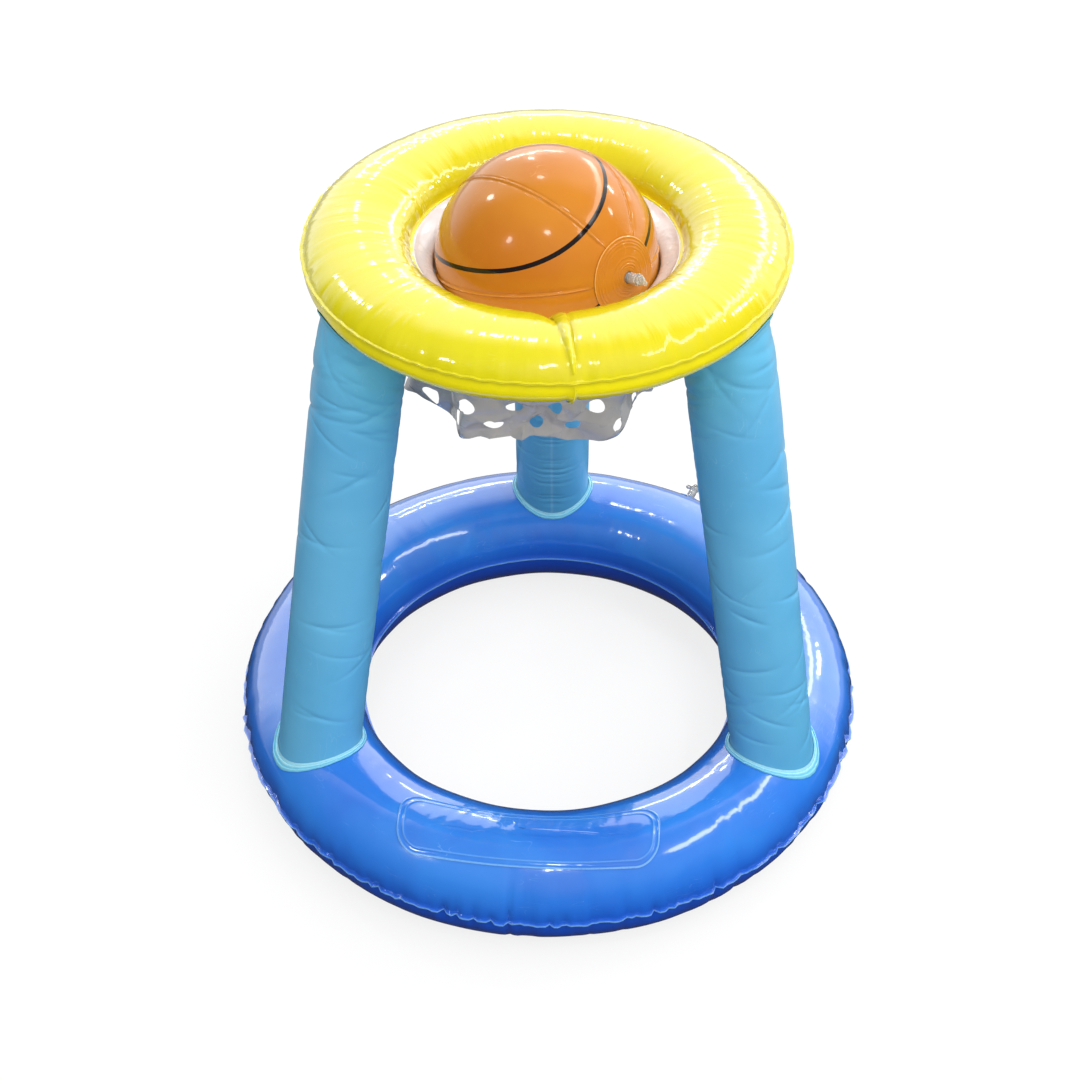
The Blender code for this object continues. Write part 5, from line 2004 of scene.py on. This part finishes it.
@dataclass
class Valve:
    """A soft clear valve: a bored stem, a plug on a tether, and the flap behind them."""

    name: str
    place: Matrix
    material: Material
    stem_radius: float = 0.0046
    bore_radius: float = 0.0032
    reach: float = 0.014
    lip_radius: float = 0.0056
    lip_height: float = 0.0016
    flange_radius: float = 0.0075
    flange_thickness: float = 0.0008
    flange_depth: float = 0.0036
    beads: tuple[float, ...] = (0.0088, 0.0058, 0.0028)
    tail: float = 0.003
    plug_depth: float = 0.006
    head_radius: float = 0.0046
    head_thickness: float = 0.0018
    knob_radius: float = 0.0032
    knob_height: float = 0.004
    tether_reach: float = 0.0105
    tether_width: float = 0.0036
    tether_thickness: float = 0.0011
    flap_radius: float = 0.0044
    flap_thickness: float = 0.0006
    sides: int = 56

    def build(self) -> None:
        """Models the stem, the plug, the flap and the tether."""
        self.turned("stem", self.stem_profile(), True)
        self.turned("plug", self.plug_profile(), False)
        self.turned("flap", self.flap_profile(), False)
        self.tether()

    def turned(self, part: str, profile: list, closed: bool) -> None:
        """Turns a part from its section, puts it in its place and dresses it.

        Args:
            part: The part's name.
            profile: The (radius, height) points of its section.
            closed: Whether the section closes in itself, off the axis.
        """
        obj = lathe(f"{self.name}_valve_{part}_vinyl", profile, self.sides, closed)
        obj.data.transform(self.place)
        shade(obj, 40)
        dress(obj, self.material, Slot.VINYL, f"{self.name}_valve_{part}", body=f"{self.name}_{part}")

    def stem_profile(self) -> list:
        """The stem's section: a lip at its mouth, three fine beads and a flange behind the skin.

        Returns:
            Its (radius, height) points.
        """
        stem, bore, lip = self.stem_radius, self.bore_radius, self.lip_radius - 0.0005
        low = -self.flange_depth - self.flange_thickness
        tail, lip_low = low - self.tail, self.reach - self.lip_height
        profile = [(bore, self.reach - 0.0002), (bore + 0.0002, self.reach)]
        profile += arc_points((lip, self.reach - 0.0005), 0.0005, 90, 0, 4)
        profile += arc_points((lip, lip_low + 0.0005), 0.0005, 0, -90, 4)
        profile += [(stem, lip_low - 0.0003)]
        for height in self.beads:
            profile += arc_points((stem - 0.0002, height), 0.0005, 70, -70, 6)
        profile += [(stem, 0.0010), (stem, -self.flange_depth + 0.0003), (stem + 0.0003, -self.flange_depth)]
        middle = (low - self.flange_depth) / 2
        profile += arc_points((self.flange_radius - 0.0004, middle), 0.0004, 90, -90, 6)
        return profile + [(stem, low), (stem, tail + 0.0002), (stem - 0.0002, tail), (bore, tail)]

    def plug_profile(self) -> list:
        """The plug's section: a grooved stopper, a rounded head and a knob to pull.

        Returns:
            Its (radius, height) points.
        """
        low = self.reach + CLEARANCE
        high, bottom = low + self.head_thickness, low - self.plug_depth
        stopper, head = self.bore_radius - CLEARANCE, self.head_radius
        knob, rise = self.knob_radius, self.knob_height
        profile = [(0.0, high + rise)]
        profile += arc_points((knob * 0.42, high + rise * 0.78), rise * 0.22, 90, 20, 4)
        profile += arc_points((knob - rise * 0.25, high + rise * 0.45), rise * 0.25, 50, -50, 6)
        profile += [(knob * 0.62, high + rise * 0.12), (knob * 0.68, high)]
        profile += arc_points((head - 0.0006, high - 0.0006), 0.0006, 90, 0, 4)
        profile += arc_points((head - 0.0004, low + 0.0004), 0.0004, 0, -90, 4)
        profile += [(stopper, low), (stopper, low - 0.0018), (stopper - 0.0005, low - 0.0024)]
        profile += [(stopper, low - 0.0030), (stopper, low - 0.0046)]
        return profile + [(stopper - 0.0006, bottom), (0.0, bottom)]

    def flap_profile(self) -> list:
        """The section of the thin one-way flap at the stem's tail.

        Returns:
            Its (radius, height) points.
        """
        top = -self.flange_depth - self.flange_thickness - self.tail - CLEARANCE
        low, rim = top - self.flap_thickness, self.flap_radius
        profile = [(0.0, top), (rim * 0.55, top), (rim - 0.0002, top), (rim, top - 0.0002)]
        return profile + [(rim, low + 0.0002), (rim - 0.0002, low), (rim * 0.5, low), (0.0, low)]

    def tether(self) -> None:
        """Models the strap that keeps the plug on the stem; it bends between them."""
        head = self.reach + CLEARANCE + self.head_thickness / 2
        lip = self.reach - self.lip_height / 2
        obj, turn, share = tube_canvas(f"{self.name}_valve_tether_vinyl", 16, (9, 4))
        knots = np.array([
            (self.head_radius - self.tether_thickness, head),
            (self.head_radius + 0.0018, head + 0.0006),
            (self.tether_reach - 0.0012, head + 0.0007),
            (self.tether_reach, (head + lip) / 2),
            (self.tether_reach - 0.0012, lip - 0.0007),
            (self.lip_radius + 0.0016, lip - 0.0002),
            (self.lip_radius - 0.0003, lip),
        ])
        soft = np.linspace(0, 1, 121)
        path = np.stack([np.interp(soft, np.linspace(0, 1, len(knots)), line) for line in knots.T], axis=1)
        for _ in range(90):
            path[1:-1] = (path[:-2] + 2 * path[1:-1] + path[2:]) / 4
        slope = np.gradient(path, axis=0)
        slope /= np.linalg.norm(slope, axis=1)[:, None]
        x, z, along_x, along_z = (np.interp(share, soft, line) for line in (*path.T, *slope.T))
        wide = self.tether_width / 2 * (1 + 0.25 * ease(np.abs(share - 0.5), 0.38, 0.5))
        side = np.sign(np.sin(turn)) * np.abs(np.sin(turn)) ** 0.6 * wide
        thick = np.sign(np.cos(turn)) * np.abs(np.cos(turn)) ** 0.6 * self.tether_thickness / 2
        move_points(obj, np.stack([x - along_z * thick, side, z + along_x * thick], axis=1))
        close_ends(obj)
        obj.data.transform(self.place)
        shade(obj, 50)
        obj.data.materials.clear()
        obj.data.materials.append(self.material)
        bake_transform(obj)


@dataclass
class RingValve:
    """A valve through a ring's skin, with its weld disc."""

    name: str
    ring: InflatedRing
    azimuth: float
    angle: float
    film_material: Material
    slot: Slot
    vinyl: Material
    disc_radius: float = 0.013
    disc_film: float = 0.0008
    hole_radius: float = 0.0052

    def build(self) -> None:
        """Models the disc and the valve."""
        ring = self.ring
        azimuth, angle = radians(self.azimuth), radians(self.angle)
        self.disc(azimuth, angle)
        out, rise = ring.normal(angle)
        radius = ring.radius + ring.half_width * math.cos(angle)
        origin = level(azimuth) * radius + UP * (ring.mid + ring.half_height * math.sin(angle))
        place = frame_at(origin, level(azimuth) * float(out) + UP * float(rise), level(azimuth + math.pi / 2))
        Valve(self.name, place, self.vinyl).build()

    def disc(self, azimuth: float, angle: float) -> None:
        """Models the round weld disc, which follows the skin.

        Args:
            azimuth: The valve's azimuth.
            angle: Its section angle.
        """
        ring = self.ring
        obj, phase, inwards = disc_canvas(f"{self.name}_valve_disc_film", 96, 28, True)
        reach = self.disc_radius + (self.hole_radius - self.disc_radius) * inwards
        radius, speed = ring.pace(angle)
        lift = SEAT_LIFT + self.disc_film
        for place in (self.disc_radius - 0.0010, self.disc_radius - 0.0034, self.hole_radius + 0.0012):
            lift = lift + 0.0003 * bell(reach - place, 0.0005)
        turns, angles = azimuth + reach * np.cos(phase) / radius, angle + reach * np.sin(phase) / speed
        move_points(obj, ring.surface(turns, angles, lift))
        weld = 0.6 * ease(self.disc_radius - reach, 0.0012, 0.0004)
        # The disc takes the skin's painted light and shade.
        mark(obj, points_of(obj), weld, ease(np.sin(angles), *ring.under_span))
        face_away(obj, ring.middles(obj))
        thicken(obj, self.disc_film)
        dress(obj, self.film_material, self.slot, f"{self.name}_valve_disc")


# Studio


@dataclass
class Studio:
    """The pale floor, the soft lamps and the camera of the photograph.

    Lamps are given by azimuth and elevation in degrees, the round ones with their radius.
    """

    target: Vector
    eye: Triple = (0.0336, -1.4821, 1.5718)
    right: Triple = (0.999711, 0.023511, -0.005021)
    up: Triple = (-0.011808, 0.662102, 0.749321)
    forward: Triple = (-0.020942, 0.749045, -0.662188)
    lens: float = 64.60
    distance: float = 3.2
    lamp_radiance: float = 22.0
    round_lamps: tuple[Triple, ...] = (
        (100, 27, 0.09), (98, 17, 0.07), (104, 63, 0.16), (146, 38, 0.17),
        (-84, 61, 0.17), (-140, 40, 0.17), (46, 21, 0.15), (19, 31, 0.17),
    )
    strip: tuple[Pair, ...] = ((75, 11), (59, 26), (33, 41), (-4, 50), (-34, 48))
    strip_width: float = 0.30
    strip_radiance: float = 6.0
    window: tuple[Pair, ...] = ((110, 15), (97, 14), (84, 13))
    window_height: float = 0.13
    window_radiance: float = 11.0
    horizon: float = 0.60
    zenith: float = 0.81
    right_share: float = 0.46
    fill: float = 1.62
    fill_way: Pair = (-62.0, 48.0)
    gloss: Pair = (0.04, 0.25)
    wall_gloss: float = 1.7
    floor_white: float = 0.9
    floor_gloss: Pair = (0.04, 0.55)
    floor_tone: Pair = (0.08, 0.5)

    def build(self) -> None:
        """Sets up the whole studio."""
        self.floor()
        self.world()
        self.lamps()
        self.camera()
        bpy.context.scene.view_settings.view_transform = "Standard"

    def direction(self, azimuth: float, elevation: float) -> Vector:
        """The direction at an azimuth and an elevation in degrees."""
        rise = radians(elevation)
        return level(radians(azimuth)) * math.cos(rise) + UP * math.sin(rise)

    def seen(self, wiring: Wiring) -> tuple[Socket, Socket]:
        """Reads what kind of ray meets the background.

        Args:
            wiring: The wiring of the floor or the world.

        Returns:
            Whether it comes from the camera or a clear piece, and whether it is gloss.
        """
        path = wiring.node("ShaderNodeLightPath").outputs
        straight = wiring.maths("MAXIMUM", path["Is Camera Ray"], path["Is Transmission Ray"])
        return straight, path["Is Glossy Ray"]

    def floor(self) -> None:
        """Lays the floor, which looks nearly white and keeps the object's shadow."""
        sizes = {"vertices": 96, "radius": 9, "fill_type": "NGON", "location": (0, 0, -0.0004)}
        floor = add(bpy.ops.mesh.primitive_circle_add, "studio_floor", **sizes)
        bpy.ops.object.transform_apply(location=True, rotation=False, scale=False)
        material = bpy.data.materials.new("pale_floor")
        material.use_nodes = True
        nodes = material.node_tree.nodes
        nodes.remove(nodes["Principled BSDF"])
        wiring = Wiring(material.node_tree)
        straight, glossy = self.seen(wiring)
        place = wiring.node("ShaderNodeTexCoord").outputs["Object"]
        away = wiring.vector("LENGTH", place, output="Value")
        back = wiring.node("ShaderNodeSeparateXYZ", Vector=place).outputs[1]
        plain = wiring.ramp(away, 0.45, 0.95, *self.floor_tone)
        matte = wiring.node("ShaderNodeBsdfDiffuse", Color=wiring.mix(straight, plain, self.floor_white))
        far = wiring.maths("MULTIPLY", wiring.ramp(away, 0.42, 0.62), wiring.ramp(back, 0.0, 0.45))
        shine = wiring.ramp(far, 0.0, 1.0, *self.floor_gloss)
        glow = wiring.node("ShaderNodeEmission", Strength=wiring.mix(glossy, 1.0, shine))
        share = wiring.maths("MAXIMUM", wiring.maths("MULTIPLY", straight, 0.8), glossy)
        both = wiring.node("ShaderNodeMixShader", None, share, matte.outputs[0], glow.outputs[0])
        wiring.fill(nodes["Material Output"], Surface=both.outputs[0])
        floor.data.materials.append(material)

    def world(self) -> None:
        """Fills the room with even light, and shows white behind the object."""
        world = bpy.data.worlds.new("studio_room")
        bpy.context.scene.world = world
        world.use_nodes = True
        wiring = Wiring(world.node_tree)
        straight, glossy = self.seen(wiring)
        way = wiring.node("ShaderNodeTexCoord").outputs["Generated"]
        across, back, rise = wiring.node("ShaderNodeSeparateXYZ", Vector=way).outputs
        sky = wiring.ramp(rise, 0.0, 1.0, self.horizon, self.zenith)
        sky = wiring.maths("MULTIPLY", sky, wiring.maths("MULTIPLY_ADD", across, self.right_share, 1.0))
        toward = wiring.vector("DOT_PRODUCT", way, tuple(self.direction(*self.fill_way)), output="Value")
        sky = wiring.maths("ADD", sky, wiring.ramp(toward, 0.72, 0.96, 0.0, self.fill))
        wall = wiring.ramp(back, 0.15, 0.62, 0.0, self.wall_gloss)
        room = wiring.maths("ADD", wiring.ramp(rise, 0.15, 0.9, *self.gloss), wall)
        strength = wiring.mix(straight, wiring.mix(glossy, sky, room), 1.0)
        wiring.fill(world.node_tree.nodes["Background"], Color=(1, 1, 1, 1), Strength=strength)

    def lamp(self, name: str, way: Vector, shape: str, size: Pair, radiance: float) -> Object:
        """Hangs one lamp that faces the object.

        Args:
            name: Its name.
            way: The direction from the target to it.
            shape: DISK or RECTANGLE.
            size: Its width and height.
            radiance: How bright its face is.

        Returns:
            The lamp.
        """
        data = bpy.data.lights.new(name, "AREA")
        data.shape = shape
        data.size = size[0]
        area = math.pi * size[0] ** 2 / 4 if shape == "DISK" else size[0] * size[1]
        if shape == "RECTANGLE":
            data.size_y = size[1]
        data.energy = radiance * math.pi * area
        lamp = bpy.data.objects.new(name, data)
        bpy.context.scene.collection.objects.link(lamp)
        lamp.location = self.target + way * self.distance
        lamp.rotation_euler = way.to_track_quat("Z", "Y").to_euler()
        return lamp

    def lamps(self) -> None:
        """Hangs the round lamps, the long strip and the window behind."""
        for number, (azimuth, elevation, radius) in enumerate(self.round_lamps):
            way, name = self.direction(azimuth, elevation), f"round_lamp_{number + 1}"
            self.lamp(name, way, "DISK", (2 * radius, 2 * radius), self.lamp_radiance)
        self.row("strip", self.strip, self.strip_width, self.strip_radiance)
        self.row("window", self.window, self.window_height, self.window_radiance)

    def row(self, name: str, ends: Sequence[Pair], width: float, radiance: float) -> None:
        """Hangs a row of long lamps, end to end.

        Args:
            name: The row's name.
            ends: The azimuth and elevation of each lamp's ends.
            width: Its width across the row.
            radiance: How bright its faces are.
        """
        ways = [self.direction(*end) for end in ends]
        for number, (first, second) in enumerate(zip(ways, ways[1:])):
            middle = (first + second).normalized()
            length = (first - second).length * self.distance
            lamp = self.lamp(f"{name}_lamp_{number + 1}", middle, "RECTANGLE", (width, length), radiance)
            along = (second - first).normalized()
            lamp.rotation_euler = frame_at(Vector(), middle, along.cross(middle)).to_euler()

    def camera(self) -> None:
        """Puts the camera where the photograph was taken from."""
        data = bpy.data.cameras.new("camera")
        data.lens = self.lens
        data.sensor_width = 36
        camera = bpy.data.objects.new("camera", data)
        bpy.context.scene.collection.objects.link(camera)
        axes = Matrix((Vector(self.right), Vector(self.up), -Vector(self.forward))).transposed().to_4x4()
        axes.translation = Vector(self.eye)
        camera.matrix_world = axes
        bpy.context.scene.camera = camera


@dataclass
class Toy:
    """The whole toy: its sub-assemblies, in the order in which they are built."""

    leg_azimuths: tuple[float, ...] = (-150.0, -30.0, 90.0)
    leg_names: tuple[str, ...] = ("left", "right", "rear")
    ball_side_gap: float = 0.020
    ball_drop: float = 0.015
    net_film: float = 0.0004

    def build(self) -> Vector:
        """Builds every sub-assembly.

        Returns:
            The ball's centre, at which the lamps point.
        """
        shared = SharedEffects()
        yellow, blue = HOOP_FINISH.material(shared), BASE_FINISH.material(shared)
        vinyl = VinylFinish().material(shared)
        base = BaseRing(blue, self.leg_azimuths)
        base.build()
        LOG.info("base ring: two skins and the front patch")
        hoop = Hoop(yellow, self.net_film + 2 * CLEARANCE, self.leg_azimuths)
        hoop.build()
        LOG.info("hoop: two skins and the cross weld's strips")
        leg_film, collar_film = LEG_FINISH.material(shared), COLLAR_FINISH.material(shared)
        for number, (name, azimuth) in enumerate(zip(self.leg_names, self.leg_azimuths)):
            Leg(name, azimuth, base.ring, hoop.ring, leg_film, collar_film, number).build()
            LOG.info("%s leg: tube and two collars", name)
        radius = hoop.ring.radius - hoop.ring.half_width - self.ball_side_gap
        centre = UP * (hoop.ring.mid - self.ball_drop)
        ball = Ball(BALL_FINISH.material(shared), centre, radius)
        ball.build()
        LOG.info("ball: six gores and two caps")
        NetSkirt(NET_FINISH.material(shared), hoop, radius, centre, radius + CLEARANCE + FILM).build()
        LOG.info("net: the punched skirt")
        Valve("ball", ball.valve_place(), vinyl).build()
        RingValve("base", base.ring, *BASE_VALVE, blue, Slot.BASE, vinyl).build()
        RingValve("hoop", hoop.ring, *HOOP_VALVE, yellow, Slot.HOOP, vinyl).build()
        LOG.info("valves: three stems with plugs, tethers and flaps")
        return centre


def main() -> None:
    """Builds the toy and the studio."""
    logging.basicConfig(level=logging.INFO, format="%(name)s: %(message)s")
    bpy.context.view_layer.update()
    centre = Toy().build()
    Studio(centre).build()
    LOG.info("studio: floor, lamps and camera")


if __name__ == "__main__":
    main()
